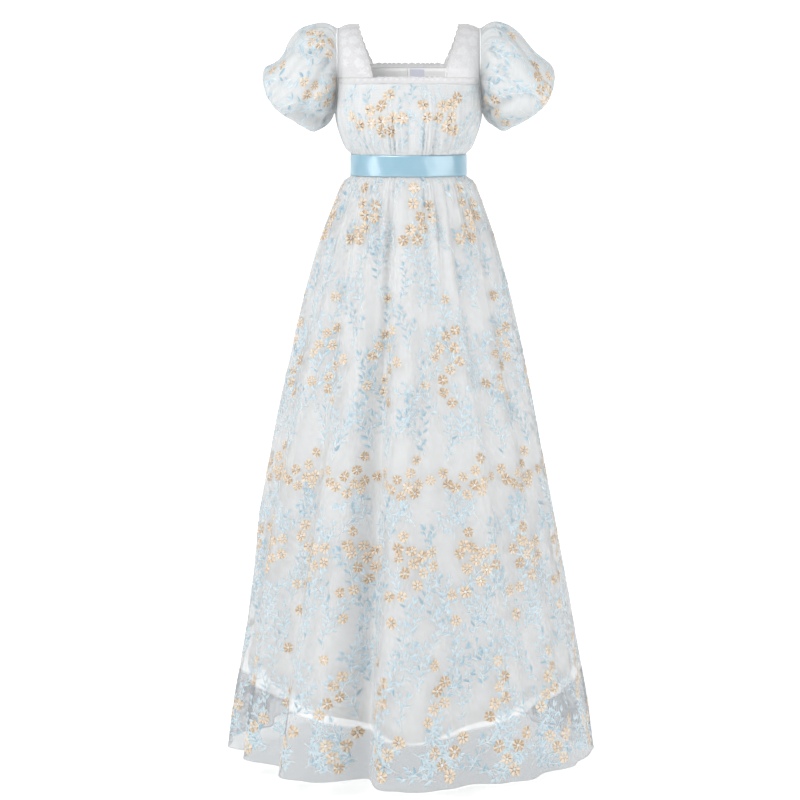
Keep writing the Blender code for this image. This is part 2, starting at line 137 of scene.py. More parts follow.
# Softer troughs (depth over 0) and ridges (under 0) between the large folds: where each starts
# and ends, in degrees from the centre front and as drops, its depth and its half width in degrees
CREASES = named(
    "angle_top angle_foot top foot depth width",
    (9, 5, 0.3, 0.9, 0.005, 3.6), (2, -3, 0.33, 1.25, -0.0045, 4),
    (-7, -8, 0.32, 0.7, 0.003, 2.6), (-26, -30, 0.31, 1.05, -0.005, 4.2),
    (-34, -41, 0.33, 0.82, 0.004, 3), (22, 27, 0.31, 0.64, -0.0035, 3),
    (29, 38, 0.32, 1.15, -0.005, 4.5), (45, 44, 0.3, 0.78, 0.004, 3.2),
    (56, 66, 0.31, 1.3, 0.006, 4), (68, 76, 0.34, 1.05, -0.0045, 4),
    (82, 84, 0.31, 0.9, 0.004, 3), (-56, -70, 0.32, 1.15, -0.005, 4),
    (-66, -72, 0.31, 0.7, 0.0035, 2.8), (-88, -94, 0.32, 1.25, -0.005, 4.5),
    (-101, -104, 0.31, 0.86, 0.0045, 3.4), (12, 11, 0.9, 1.424, 0.006, 4.5),
    (-6, -5, 0.98, 1.424, 0.005, 3.6), (-38, -40, 0.88, 1.424, 0.0075, 4.2),
    (40, 38, 1, 1.424, 0.007, 4), (66, 70, 1.05, 1.424, 0.0055, 3.6),
    (-91, -93, 0.95, 1.424, 0.007, 4), (90, 88, 1, 1.424, -0.005, 4),
    (112, 111, 0.33, 1.1, -0.0055, 4.6), (117, 113, 0.31, 0.72, 0.004, 3),
    (137, 134, 0.32, 1.25, -0.005, 4.4), (143, 141, 0.31, 0.8, 0.0045, 3.2),
    (160, 159, 0.33, 1.15, -0.006, 4.4), (178, 180, 0.31, 0.9, 0.0035, 3),
    (-174, -177, 0.9, 1.424, 0.007, 4.4), (-154, -154, 0.32, 1.2, -0.0055, 4.6),
    (-160, -159, 0.31, 0.76, 0.004, 3), (-128, -130, 0.33, 1.3, -0.005, 4.4),
    (-133, -136, 0.31, 0.82, 0.004, 3),
)
CREASE_FADE = 0.12  # the drop over which a crease starts and ends
CREASE_GROWS = 0.45  # how much deeper creases get below the gathers
GROWS_FROM = 0.45
GROWS_OVER = 0.3
FINE_GATHER = 0.0046  # the small gathers between the main ones, next to the ribbon
FINE_REACH = 0.085
FINE_START = 0.006

# Rows over the shoulder: the strap's inner edge, its outer edge and the bulge of its middle
STRAP = (
    ((0.0755, -0.09, -0.07), (0.135, -0.045, -0.07), (0, -0.011, 0.003)),
    ((0.0885, -0.064, -0.0345), (0.135, -0.038, -0.04), (0, -0.006, 0.004)),
    ((0.0955, -0.032, -0.007), (0.135, -0.024, -0.014), (0, -0.002, 0.0035)),
    ((0.098, 0.005, 0.0045), (0.1345, 0.006, -0.003), (0, 0, 0.0035)),
    ((0.0955, 0.04, -0.008), (0.134, 0.035, -0.015), (0, 0.002, 0.0035)),
    ((0.086, 0.066, -0.036), (0.1325, 0.05, -0.042), (0, 0.005, 0.004)),
)
STRAP_RISE = 0.0005
STRAP_SCALLOPS = 16
STRAP_FLOWERS = 11
STRAP_ROWS = 129
STRAP_COLUMNS = 15
SCALLOP = 0.0022

SLEEVE = named(
    "x_top z_top x_low z_low half_depth hang",
    (0.152, 0.003, 0.148, -0.171, 0.07, 0), (0.175, 0.006, 0.162, -0.19, 0.088, 0.004),
    (0.208, -0.009, 0.178, -0.199, 0.096, 0.01), (0.242, -0.046, 0.191, -0.197, 0.094, 0.018),
    (0.274, -0.073, 0.202, -0.188, 0.084, 0.024), (0.279, -0.096, 0.203, -0.176, 0.068, 0.02),
    (0.264, -0.104, 0.195, -0.167, 0.053, 0.009), (0.249, -0.102, 0.187, -0.164, 0.044, 0),
)
SLEEVE_CENTRE_Y = 0.008
SLEEVE_GATHERS = 18
SLEEVE_COLUMNS = 180
SLEEVE_ROWS = 64
SLEEVE_FERNS = 17
ARMHOLE_STEPS = 25
CUFF_GATHER = 0.0045
HEAD_GATHER = 0.003
HEAD_FADES = (1.0, 0.55, 0.15)
SLEEVE_CLEAR = 0.0026
SLEEVE_OVER = 0.0006

# Soft dents (depth over 0) and swellings of a puff sleeve: the middle in rings and in degrees
# from the sleeve's top towards its front, the half lengths along and round, the depth, and
# how far the dent leans, in degrees round for each ring
DENT_FIELDS = "ring turn along round depth lean"
DENTS = {
    "left": named(
        DENT_FIELDS,
        (3.4, 40, 1.6, 9, 0.006, 12), (2.2, 78, 1.5, 10, 0.007, 20),
        (2.6, 120, 1.8, 9, 0.008, -16), (1.4, 158, 1.3, 12, 0.009, 14),
        (3.6, 165, 1.2, 10, 0.005, 0), (4.2, 96, 1.2, 8, 0.006, 6),
        (2, 10, 1.2, 12, -0.003, 0), (3, 200, 1.4, 10, 0.006, 12),
        (2.4, 250, 1.6, 11, 0.007, -14), (3.4, 300, 1.5, 10, 0.006, 10),
        (1.6, 325, 1, 12, 0.005, 0),
    ),
    "right": named(
        DENT_FIELDS,
        (3.4, 22, 0.8, 11, 0.006, 4), (2.6, 52, 1.7, 9, 0.005, -14),
        (2, 96, 1.5, 10, 0.0065, 18), (2.8, 138, 1.6, 10, 0.0085, -12),
        (1.5, 165, 1.2, 12, 0.008, 10), (4.2, 70, 1.1, 8, 0.006, 8),
        (4, 130, 1, 8, 0.005, 0), (3.2, 2, 0.8, 30, -0.006, 0),
        (4.4, 4, 0.45, 18, 0.015, 0), (2.8, 215, 1.5, 10, 0.0065, -12),
        (3.2, 262, 1.6, 10, 0.006, 14), (2.2, 310, 1.4, 11, 0.006, -8),
    ),
}

RIBBON_OUT = 0.0016  # how far the ribbon stands off the figure
RIBBON_COLUMNS = 12
LAP_OUT = 0.001
LAP_FROM, LAP_TO = 28, 38
LABEL_WIDTH = 0.026
LABEL_TOP, LABEL_FOOT = 0.079, 0.108
LABEL_FROM_SEAM = 0.1
LABEL_OFF = 0.0008  # how far it hangs off the lining

# Colours, linear. A thread's tone changes between two of them.
NET_WHITE = (0.665, 0.68, 0.686)
SHEER_PAINTED_SHADE = (0.25, 0.275, 0.295)  # painted shade of the net where no lining lies behind it, standing in for the shaded inside seen through it
# Painted shade of the net's inner face below the lining's hem
SHEER_INSIDE_PAINTED_SHADE = (0.48, 0.5, 0.51)
# Painted glow of the net's inner faces: faint where the lining lies behind them, and in front and at
# the back below the lining's hem, standing in for light shining through the net
LINED_PAINTED_GLOW = (0.05, 0.05, 0.05)
FRONT_PAINTED_GLOW = (0.06, 0.06, 0.06)
BACK_PAINTED_GLOW = (0.8, 0.82, 0.84)
SLEEVE_WHITE = (0.7, 0.72, 0.727)
LINING_WHITE = (0.88, 0.882, 0.88)
HEM_WHITE = (0.7, 0.695, 0.68)
LACE_WHITE = (0.73, 0.73, 0.742)
RIBBON_BLUE = (0.225, 0.39, 0.485)
LABEL_WHITE = (0.76, 0.77, 0.88)
THREADS = {
    "petal": ((0.57, 0.46, 0.34), (0.5, 0.385, 0.265)),
    "petal_light": ((0.67, 0.58, 0.475), (0.6, 0.495, 0.375)),
    "petal_shade": ((0.43, 0.315, 0.2), (0.36, 0.255, 0.16)),
    "petal_deep": ((0.24, 0.155, 0.092), (0.17, 0.108, 0.062)),
    "flower_heart": ((0.64, 0.65, 0.65), (0.4, 0.42, 0.43)),
    "leaf_light": ((0.515, 0.59, 0.63), (0.44, 0.535, 0.59)),
    "leaf_pale": ((0.4, 0.5, 0.55), (0.335, 0.445, 0.505)),
    "leaf": ((0.295, 0.41, 0.475), (0.25, 0.37, 0.445)),
    "leaf_deep": ((0.195, 0.32, 0.4), (0.255, 0.37, 0.44)),
    "stem": ((0.62, 0.665, 0.68), (0.48, 0.545, 0.575)),
    "sewing": ((0.7, 0.7, 0.71), (0.6, 0.61, 0.625)),
}
INKS = list(THREADS)


def smooth(table, column, at):
    """One column of a table at the given drops, on a cubic that never overshoots its rows."""
    x = np.array([row.drop for row in table])
    y = np.array([getattr(row, column) for row in table])
    step = np.diff(x)
    slope = np.diff(y) / step
    tangent = np.concatenate([slope[:1], np.zeros(len(x) - 2), slope[-1:]])
    same_way = slope[:-1] * slope[1:] > 0
    early, late = slope[:-1][same_way], slope[1:][same_way]
    weight_a = (2 * step[1:] + step[:-1])[same_way]
    weight_b = (step[1:] + 2 * step[:-1])[same_way]
    tangent[1:-1][same_way] = (weight_a + weight_b) / (weight_a / early + weight_b / late)
    at = np.clip(at, x[0], x[-1])
    i = np.clip(np.searchsorted(x, at) - 1, 0, len(x) - 2)
    t = (at - x[i]) / step[i]
    return (
        y[i] * (1 + 2 * t) * (1 - t) ** 2
        + tangent[i] * step[i] * t * (1 - t) ** 2
        + y[i + 1] * t**2 * (3 - 2 * t)
        + tangent[i + 1] * step[i] * t**2 * (t - 1)
    )


def angle_of(u):
    """Angle from the centre front, in degrees, of a place counted in gathers. Gathers are uneven."""
    quarter = math.pi * u / SIDE_RIGHT
    return (u - CENTRE_FRONT) * 360 / GATHERS + 1.8 * np.sin(3 * quarter) + 1.2 * np.sin(5 * quarter)


def half_turned(degrees):
    """The same direction between -180 and 180 degrees."""
    return (degrees + 180) % 360 - 180


def fold_depth(angle, drop, softer=1.0):
    """How far the skirt's large folds pull the cloth in."""
    grown = np.clip((drop - FOLD_START) / (HEM - FOLD_START), 0, 1) ** 0.9
    depth = np.zeros(np.broadcast(angle, drop).shape)
    for fold in FOLDS:
        away = half_turned(angle - (fold.angle_top + (fold.angle_hem - fold.angle_top) * grown))
        reach = np.where(away < 0, fold.before, fold.after) * softer
        depth = depth + fold.depth * grown * np.exp(-((away / reach) ** 2))
    return depth


def crease_depth(angle, drop):
    """How far the softer troughs and ridges pull the cloth in."""
    depth = np.zeros(np.broadcast(angle, drop).shape)
    for crease in CREASES:
        share = np.clip((drop - crease.top) / (crease.foot - crease.top), 0, 1)
        middle = crease.angle_top + (crease.angle_foot - crease.angle_top) * share
        away = half_turned(angle - middle)
        opens = np.clip((drop - crease.top) / CREASE_FADE, 0, 1)
        closes = np.clip((crease.foot - drop) / CREASE_FADE, 0, 1)
        if crease.foot >= HEM - SEAM:
            closes = 1.0
        depth = depth + crease.depth * opens * closes * np.exp(-((away / crease.width) ** 2))
    return depth * (1 + CREASE_GROWS * np.clip((drop - GROWS_FROM) / GROWS_OVER, 0, 1))


def gather_depth(u, drop):
    """How far a trough between two gathers lies in from the ridges beside it."""
    turn = 2 * math.pi * u / GATHERS
    uneven = 0.78 + 0.14 * np.sin(9 * turn + 0.7) + 0.08 * np.sin(20 * turn)
    return smooth(LAYERS, "gather", drop) * uneven * (0.5 + 0.5 * np.cos(2 * np.pi * u))


def fine_gather_depth(u, drop):
    """The small gathers beside the ribbon, uneven in depth and spacing."""
    turn = 2 * math.pi * u / GATHERS
    past = np.maximum(np.maximum(RIBBON_TOP - drop, drop - RIBBON_FOOT), 0)
    near = np.exp(-((past / FINE_REACH) ** 2)) * np.clip(past / FINE_START, 0, 1)
    uneven = 0.7 + 0.3 * np.sin(13 * turn + 1.1)
    phase = np.pi * 2.5 * u + 0.7 * np.sin(11 * turn)
    return -FINE_GATHER * near * uneven * np.abs(np.sin(phase)) ** 0.6


def around(u, drop, inward):
    """Points of a layer at places u and drops, pulled in from the figure's outline."""
    angle = np.radians(angle_of(u))
    across, ahead = np.sin(angle), np.cos(angle)
    depth = np.where(ahead > 0, smooth(FIGURE, "front", drop), smooth(FIGURE, "back", drop))
    square = smooth(FIGURE, "square", drop)
    side = np.abs(across / smooth(FIGURE, "half_width", drop)) ** square
    radius = (side + np.abs(ahead / depth) ** square) ** (-1 / square) - inward
    return np.stack(np.broadcast_arrays(radius * across, -radius * ahead, -drop), axis=-1)


def net(u, drop):
    """The outer face of the embroidered net."""
    angle = angle_of(u)
    large = fold_depth(angle, drop) + crease_depth(angle, drop)
    return around(u, drop, gather_depth(u, drop) + fine_gather_depth(u, drop) + large)


def lining(u, drop):
    """The outer face of the lining, inside the net."""
    angle = angle_of(u)
    large = fold_depth(angle, drop, LINING_SOFTENS) + 0.6 * crease_depth(angle, drop)
    large = large + 0.5 * (fine_gather_depth(u, drop) + FINE_GATHER)
    return around(u, drop, smooth(LAYERS, "room", drop) + large)


def lining_hem(u):
    """Drop of the lining's hem, which rides up at the sides."""
    return LINING_HEM_FRONT - LINING_HEM_RISE * np.abs(np.sin(np.radians(angle_of(u)))) ** 1.5


def bodice_top(u):
    """Drop of the bodice's upper edge: the two necklines, and the armholes between them."""
    from_front = np.abs(u - CENTRE_FRONT)
    edges = []
    for away, corner, neck in (
        (from_front, FRONT_CORNER, FRONT_NECK + FRONT_EDGING + SEAM),
        (GATHERS / 2 - from_front, BACK_CORNER, BACK_NECK + BACK_EDGING + SEAM),
    ):
        fall = np.clip((away - corner) / (SIDE_RIGHT - corner), 0, 1)
        edges.append(neck + (UNDERARM - neck) * np.sin(fall * math.pi / 2))
    return np.where(from_front <= SIDE_RIGHT, *edges)


def unit(vectors):
    """The same directions at length 1."""
    return vectors / np.linalg.norm(vectors, axis=-1, keepdims=True)


def gone(points, axis=0):
    """How far each point lies along its line of points, from the first one on."""
    steps = np.linalg.norm(np.diff(points, axis=axis), axis=-1)
    return np.insert(np.cumsum(steps, axis=axis), 0, 0, axis=axis)


def rounded(points, t):
    """A point on the curve through rows of points, at row t, with Catmull-Rom tangents."""
    rows = [2 * points[0] - points[1], *points, 2 * points[-1] - points[-2]]
    i = min(int(t), len(points) - 2)
    s = t - i
    a, b, c, d = rows[i : i + 4]
    return 0.5 * (
        2 * b + (c - a) * s + (2 * a - 5 * b + 4 * c - d) * s**2 + (3 * b - a - 3 * c + d) * s**3
    )


def strap_row(t, columns=3):
    """Points across the strap at t, from 0 at its front foot to 1 at its back foot."""
    s = np.linspace(0, 1, columns)[:, None]
    front = np.linspace(CENTRE_FRONT + STRAP_FRONT, CENTRE_FRONT + FRONT_CORNER, columns)
    back = np.linspace(GATHERS - STRAP_BACK, GATHERS - BACK_CORNER, columns)
    lines = [around(front, FRONT_NECK - STRAP_RISE + 0 * front, 0.0)]
    for inner, outer, lift in np.array(STRAP):
        lines.append(inner + (outer - inner) * s + lift * 4 * s * (1 - s))
    lines.append(around(back, BACK_NECK - STRAP_RISE + 0 * back, 0.0))
    return rounded(lines, t * (len(lines) - 1))


def armhole_ring(columns):
    """The armhole's edge in equal steps, moved out along the arm and away from its middle."""
    front = np.linspace(CENTRE_FRONT + FRONT_CORNER, SIDE_LEFT, ARMHOLE_STEPS)
    back = np.linspace(SIDE_LEFT, GATHERS - BACK_CORNER, ARMHOLE_STEPS)
    under_u = np.concatenate([front, back[1:]])
    top = bodice_top(under_u)
    under = around(under_u, top, gather_depth(under_u, top))
    over = [strap_row(t)[-1] for t in np.linspace(0.5, 0, ARMHOLE_STEPS)]
    behind = [strap_row(t)[-1] for t in np.linspace(1, 0.5, ARMHOLE_STEPS)[:-1]]
    line = np.array([*over, *under, *behind, over[0]])
    length = gone(line)
    steps = np.linspace(0, length[-1], columns, endpoint=False)
    ring = np.stack([np.interp(steps, length, line[:, k]) for k in range(3)], axis=-1)
    away = (ring - ring.mean(axis=0)) * (0, 1, 1)
    return ring + unit(away) * SLEEVE_OVER + (SLEEVE_CLEAR, 0, 0)


def sleeve_rings(turn):
    """The left sleeve's rings, with its gathers, at angles from its top towards its front."""
    wave = -np.cos(SLEEVE_GATHERS * turn) * (0.8 + 0.2 * np.sin(5 * turn + 0.6))
    fine = 0.3 * np.cos(2.5 * SLEEVE_GATHERS * turn + 2 * np.sin(3 * turn))
    rings = [armhole_ring(len(turn))]
    for i, ring in enumerate(SLEEVE):
        top = np.array([ring.x_top, SLEEVE_CENTRE_Y, ring.z_top])
        low = np.array([ring.x_low, SLEEVE_CENTRE_Y, ring.z_low])
        up = (top - low) / 2
        out = unit(np.array([up[2], 0, -up[0]]))
        to_cuff = max(0, i - 2) / (len(SLEEVE) - 3)
        to_head = HEAD_FADES[i] if i < len(HEAD_FADES) else 0.0
        depth = CUFF_GATHER * to_cuff**1.5 + HEAD_GATHER * to_head
        gather = 1 + (wave + fine) * depth / np.linalg.norm(up)
        rings.append(
            (top + low) / 2
            + up * (np.cos(turn) * gather)[:, None]
            + np.array([0, -ring.half_depth, 0]) * (np.sin(turn) * gather)[:, None]
            + out * ring.hang * (np.sin(turn) ** 2)[:, None]
        )
    return rings


def sleeve_points(side):
    """The outer face of one sleeve, with its own dents. Rows run from the armhole to the cuff."""
    turn = np.linspace(0, 2 * math.pi, SLEEVE_COLUMNS, endpoint=False)
    rings = sleeve_rings(turn)
    at = np.linspace(0, len(rings) - 1, SLEEVE_ROWS)
    points = np.array([rounded(rings, t) for t in at])
    if side == "left":
        points, turn = points[:, ::-1], turn[::-1]
    else:
        points = points * (-1, 1, 1)
    inward = np.zeros(points.shape[:2])
    ring, degrees = at[:, None], np.degrees(turn)[None, :]
    held = np.clip(ring / 0.8, 0, 1) * np.clip((len(rings) - 1.2 - ring) / 1.2, 0, 1)
    for dent in DENTS[side]:
        away = half_turned(degrees - dent.turn - dent.lean * (ring - dent.ring))
        along = ((ring - dent.ring) / dent.along) ** 2
        inward += dent.depth * held * np.exp(-along - (away / dent.round) ** 2)
    return points + grid_normals(points, True) * (SOLID_NET - inward)[..., None]


def grid_normals(points, ring):
    """Unit normals of a grid. They face out where rows run down and columns run right."""
    if ring:
        right = np.roll(points, -1, axis=1) - np.roll(points, 1, axis=1)
    else:
        right = np.gradient(points, axis=1)
    return unit(np.cross(np.gradient(points, axis=0), right))


class Cloth:
    """A grid of points on one cloth, on which stitches are placed in metres."""

    def __init__(self, points, ring=False):
        self.open = points
        self.ring = ring
        normals = grid_normals(points, ring)
        if ring:
            points = np.concatenate([points, points[:, :1]], axis=1)
            normals = np.concatenate([normals, normals[:, :1]], axis=1)
        self.points, self.normals = points, normals
        self.row_numbers, self.column_numbers = map(np.arange, points.shape[:2])
        self.last = points.shape[1] - 1
        self.across, self.down = gone(points, 1), gone(points, 0)

    def move(self, row, column, x, y):
        """Rows and columns that lie x to the right and y up from a place, along the cloth.

        The last value says whether they all lie on the cloth.
        """
        line = self.down[:, int(round(column)) % len(self.column_numbers)]
        depth = np.interp(row, self.row_numbers, line) - y
        rows = np.interp(depth, line, self.row_numbers)
        arc = self.across[int(round(float(np.mean(rows))))]
        along = np.interp(column, self.column_numbers, arc) + x
        inside = np.all((depth >= line[0]) & (depth <= line[-1]))
        if self.ring:
            along = along % arc[-1]
        else:
            inside = inside and np.all((along >= 0) & (along <= arc[-1]))
        return rows, np.interp(along, arc, self.column_numbers), inside

    def step(self, row, column, x, y):
        """The one place that lies x to the right and y up from another, or None off the cloth."""
        rows, columns, inside = self.move(row, column, np.array([x]), np.array([y]))
        return (float(rows[0]), float(columns[0])) if inside else None

    def at(self, rows, columns, lift):
        """Points at rows and columns, lifted off the cloth."""
        i = np.clip(np.floor(rows).astype(int), 0, len(self.row_numbers) - 2)
        j = np.clip(np.floor(columns).astype(int), 0, len(self.column_numbers) - 2)
        s, t = (rows - i)[:, None], (columns - j)[:, None]
        found = []
        for grid in (self.points, self.normals):
            upper = grid[i, j] * (1 - t) + grid[i, j + 1] * t
            lower = grid[i + 1, j] * (1 - t) + grid[i + 1, j + 1] * t
            found.append(upper * (1 - s) + lower * s)
        return found[0] + found[1] * lift[:, None]

    def size(self, first=0, last=None):
        """Longest row, longest column and area of the stretch between two columns."""
        last = self.last if last is None else last
        part = self.points[:, first : last + 1]
        width = (self.across[:, last] - self.across[:, first]).max()
        length = self.down[-1, first : last + 1].max()
        one = np.cross(part[1:, :-1] - part[:-1, :-1], part[:-1, 1:] - part[:-1, :-1])
        two = np.cross(part[1:, :-1] - part[1:, 1:], part[:-1, 1:] - part[1:, 1:])
        area = (np.linalg.norm(one, axis=2) + np.linalg.norm(two, axis=2)).sum() / 2
        return float(width), float(length), float(min(area, width * length))


def new_object(name, vertices, faces, finishes, smooth=True, body="root"):
    """A mesh object that rides on the gown's body, or on none."""
    mesh = bpy.data.meshes.new(name)
    mesh.from_pydata(vertices.tolist(), [], faces)
    for finish in finishes:
        mesh.materials.append(finish)
    if smooth:
        mesh.shade_smooth()
    made = bpy.data.objects.new(name, mesh)
    bpy.context.scene.collection.objects.link(made)
    if body:
        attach(made, body)
    return made


def write_uv(made, values):
    """A UV map in metres, given for each corner of each face."""
    layer = made.data.uv_layers.new(name="cloth")
    layer.data.foreach_set("uv", np.asarray(values, dtype=np.float32).ravel())


def shell(name, points, thickness, finish, ring=False, inside=None):
    """A closed thin wall whose outer face is a grid of points. Its inner face may look different."""
    rows, columns = points.shape[:2]
    inner = points - grid_normals(points, ring) * thickness
    index = np.arange(rows * columns).reshape(rows, columns)
    corners = index
    if ring:
        index = np.concatenate([index, index[:, :1]], axis=1)
        corners = np.arange(index.size).reshape(index.shape)

    def faces_of(grid, step):
        quads = np.stack([grid[:-1, :-1], grid[1:, :-1], grid[1:, 1:], grid[:-1, 1:]], axis=-1)
        quads = quads.reshape(-1, 4)
        edges = [grid[0, ::-1], grid[-1]]
        if not ring:
            edges += [grid[:, 0], grid[::-1, -1]]
        rims = [np.stack([e[1:], e[:-1], e[:-1] + step, e[1:] + step], axis=-1) for e in edges]
        return np.concatenate([quads, quads[:, ::-1] + step, *rims])

    vertices = np.concatenate([points.reshape(-1, 3), inner.reshape(-1, 3)])
    finishes = [finish, inside] if inside else [finish]
    made = new_object(name, vertices, faces_of(index, rows * columns).tolist(), finishes)
    if inside:
        quads = (index.shape[0] - 1) * (index.shape[1] - 1)
        which = np.zeros(len(made.data.polygons), dtype=int)
        which[quads : 2 * quads] = 1
        made.data.polygons.foreach_set("material_index", which)
    cloth = Cloth(points, ring)
    flat = np.stack([cloth.across, -cloth.down], axis=-1).reshape(-1, 2)
    write_uv(made, flat[faces_of(corners, 0).ravel()])
    return made


def tube(name, path, normals, radius, finish, closed=False, sides=6):
    """A round cord along a path."""
    if closed:
        along = unit(np.roll(path, -1, axis=0) - np.roll(path, 1, axis=0))
    else:
        along = unit(np.gradient(path, axis=0))
    side = unit(np.cross(along, normals))
    out = np.cross(side, along)
    turn = 2 * math.pi * np.arange(sides) / sides
    ring = np.cos(turn)[None, :, None] * out[:, None] + np.sin(turn)[None, :, None] * side[:, None]
    index = np.arange(len(path) * sides).reshape(-1, sides)
    loops = np.concatenate([index, index[:1]]) if closed else index
    here, there = loops[:-1], loops[1:]
    faces = np.stack([here, np.roll(here, -1, axis=1), np.roll(there, -1, axis=1), there], axis=-1)
    faces = faces.reshape(-1, 4).tolist()
    if not closed:
        faces += [index[0, ::-1].tolist(), index[-1].tolist()]
    vertices = (path[:, None] + radius * ring).reshape(-1, 3)
    made = new_object(name, vertices, faces, [finish])
    return made


def declare(node, size):
    """Hides the solid that a cloth stands for; the size that it is given is not used."""
    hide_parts(node)


Motif = namedtuple("Motif", "points faces inks")


def raised(outline, height, ink, foot=0.0001, painted_side_ink=None):
    """A low mound over an outline: points with a lift, faces with a flat foot, and their inks. Faces
    left of its middle may take another ink, which paints that half lighter or darker than the other: a
    painted highlight and painted shade.
    """
    outline = np.asarray(outline, dtype=float)
    count = len(outline)
    rim = np.column_stack([outline, np.full(count, foot)])
    top = np.array([[*outline.mean(axis=0), height]])
    faces = [(i, (i + 1) % count, count) for i in range(count)]
    middle = (outline[:, 0] + np.roll(outline[:, 0], -1)) / 2
    # Painted highlight and painted shade: the left half of the mound takes its own ink
    inks = [painted_side_ink if painted_side_ink and x < 0 else ink for x in middle]
    faces.append(tuple(range(count))[::-1])
    return Motif(np.concatenate([rim, top]), faces, [*inks, ink])


def joined(motifs):
    """Several motifs as one."""
    faces, inks, first = [], [], 0
    for motif in motifs:
        faces += [tuple(v + first for v in face) for face in motif.faces]
        inks += motif.inks
        first += len(motif.points)
    return Motif(np.concatenate([motif.points for motif in motifs]), faces, inks)


def turned(motif, angle, scale=(1, 1)):
    """A motif scaled, then turned clockwise by an angle."""
    x, y = motif.points[:, 0] * scale[0], motif.points[:, 1] * scale[1]
    c, s = math.cos(angle), math.sin(angle)
    points = np.column_stack([x * c + y * s, y * c - x * s, motif.points[:, 2]])
    return Motif(points, motif.faces, motif.inks)


def corners(count, *radii):
    """Corners round the origin, at radii that take turns."""
    found = []
    for i in range(count):
        radius, turn = radii[i % len(radii)], 2 * math.pi * i / count
        found.append((-radius * math.sin(turn), radius * math.cos(turn)))
    return found


# Outlines for a size of 1, counter-clockwise, with their length along y
LEAF_OUTLINE = [(0, 0), (0.46, 0.28), (0.4, 0.66), (0, 1), (-0.4, 0.66), (-0.46, 0.28)]
PETAL_OUTLINE = [
    (0.07, 0.24), (0.19, 0.56), (0.21, 0.86), (0, 1.02), (-0.21, 0.86), (-0.19, 0.56), (-0.07, 0.24),
]
LACE_PETAL = [(0.12, 0.2), (0.46, 0.58), (0.3, 0.98), (-0.3, 0.98), (-0.46, 0.58), (-0.12, 0.2)]
DASH_OUTLINE = [(0.5, 0), (0.5, 1), (-0.5, 1), (-0.5, 0)]
HEART_CORNERS = 6
PETAL_COUNTS = (6, 7, 8)
# Each pair gives the inks of a petal's right and left halves, a painted highlight and painted shade;
# petal_light, petal and petal_shade are lit, middle and shaded tones of one thread
PETAL_PAINTED_SIDE_INKS = [
    [("petal_light", "petal")],
    [("petal_light", "petal"), ("petal_light", "petal_light"), ("petal_light", "petal")],
    [("petal_light", "petal"), ("petal", "petal_shade"), ("petal_light", "petal")],
    [("petal", "petal_shade"), ("petal_light", "petal_shade")],
]
# The ink of each leaf's left half, painted lighter or darker than the other half: a painted highlight
# and painted shade
LEAF_PAINTED_SIDE_INKS = {
    "leaf_light": "leaf_pale", "leaf_pale": "leaf_light", "leaf": "leaf_pale", "leaf_deep": "leaf",
}
LEAF_INKS = ["leaf_light", "leaf_pale", "leaf_pale", "leaf", "leaf_deep"]


def flower(petals, inks):
    """A flower of radius 1: satin-stitched petals, each lighter on one half and darker on the other
    with painted highlight and painted shade, dark stitches between them that are partly painted shade,
    and a pale heart.
    """
    # A dark star under the petals shows between them: partly dark stitches, partly painted shade
    # between the petals
    parts = [raised(corners(2 * petals, 0.34, 0.86), 0.0006, "petal_deep")]
    for i in range(petals):
        light, shade = inks[i % len(inks)]
        petal = raised(PETAL_OUTLINE, 0.0011, light, 0.0002, shade)
        size = (9.0 / petals, 0.94 + 0.10 * math.sin(2.3 * i))
        parts.append(turned(petal, 2 * math.pi * i / petals, size))
    return joined([*parts, raised(corners(HEART_CORNERS, 0.25), 0.0015, "flower_heart", 0.0004)])


def lace_flower(petals=5):
    """A raised lace flower of radius 1, with rounded petals and a heart."""
    petal = raised(LACE_PETAL, 0.0003, "sewing")
    parts = [turned(petal, 2 * math.pi * i / petals) for i in range(petals)]
    return joined([*parts, raised(corners(HEART_CORNERS, 0.2), 0.0004, "sewing")])


FLOWERS = [flower(petals, inks) for petals in PETAL_COUNTS for inks in PETAL_PAINTED_SIDE_INKS]
# Leaves with a painted highlight on one half and painted shade on the other
LEAVES = {ink: raised(LEAF_OUTLINE, 0.0005, ink, painted_side_ink=pair) for ink, pair in LEAF_PAINTED_SIDE_INKS.items()}
DASH = raised(DASH_OUTLINE, 0.0005, "sewing")
LACE_FLOWER = lace_flower()
LACE_LEAF = raised(LEAF_OUTLINE, 0.0003, "sewing")

PANELS = (
    ("front", SIDE_RIGHT, SIDE_LEFT), ("back_left", SIDE_LEFT, GATHERS), ("back_right", 0, SIDE_RIGHT),
)


def panels(per_gather):
    """The gown's three panels, each with its first and last column."""
    return [(side, round(first * per_gather), round(last * per_gather)) for side, first, last in PANELS]


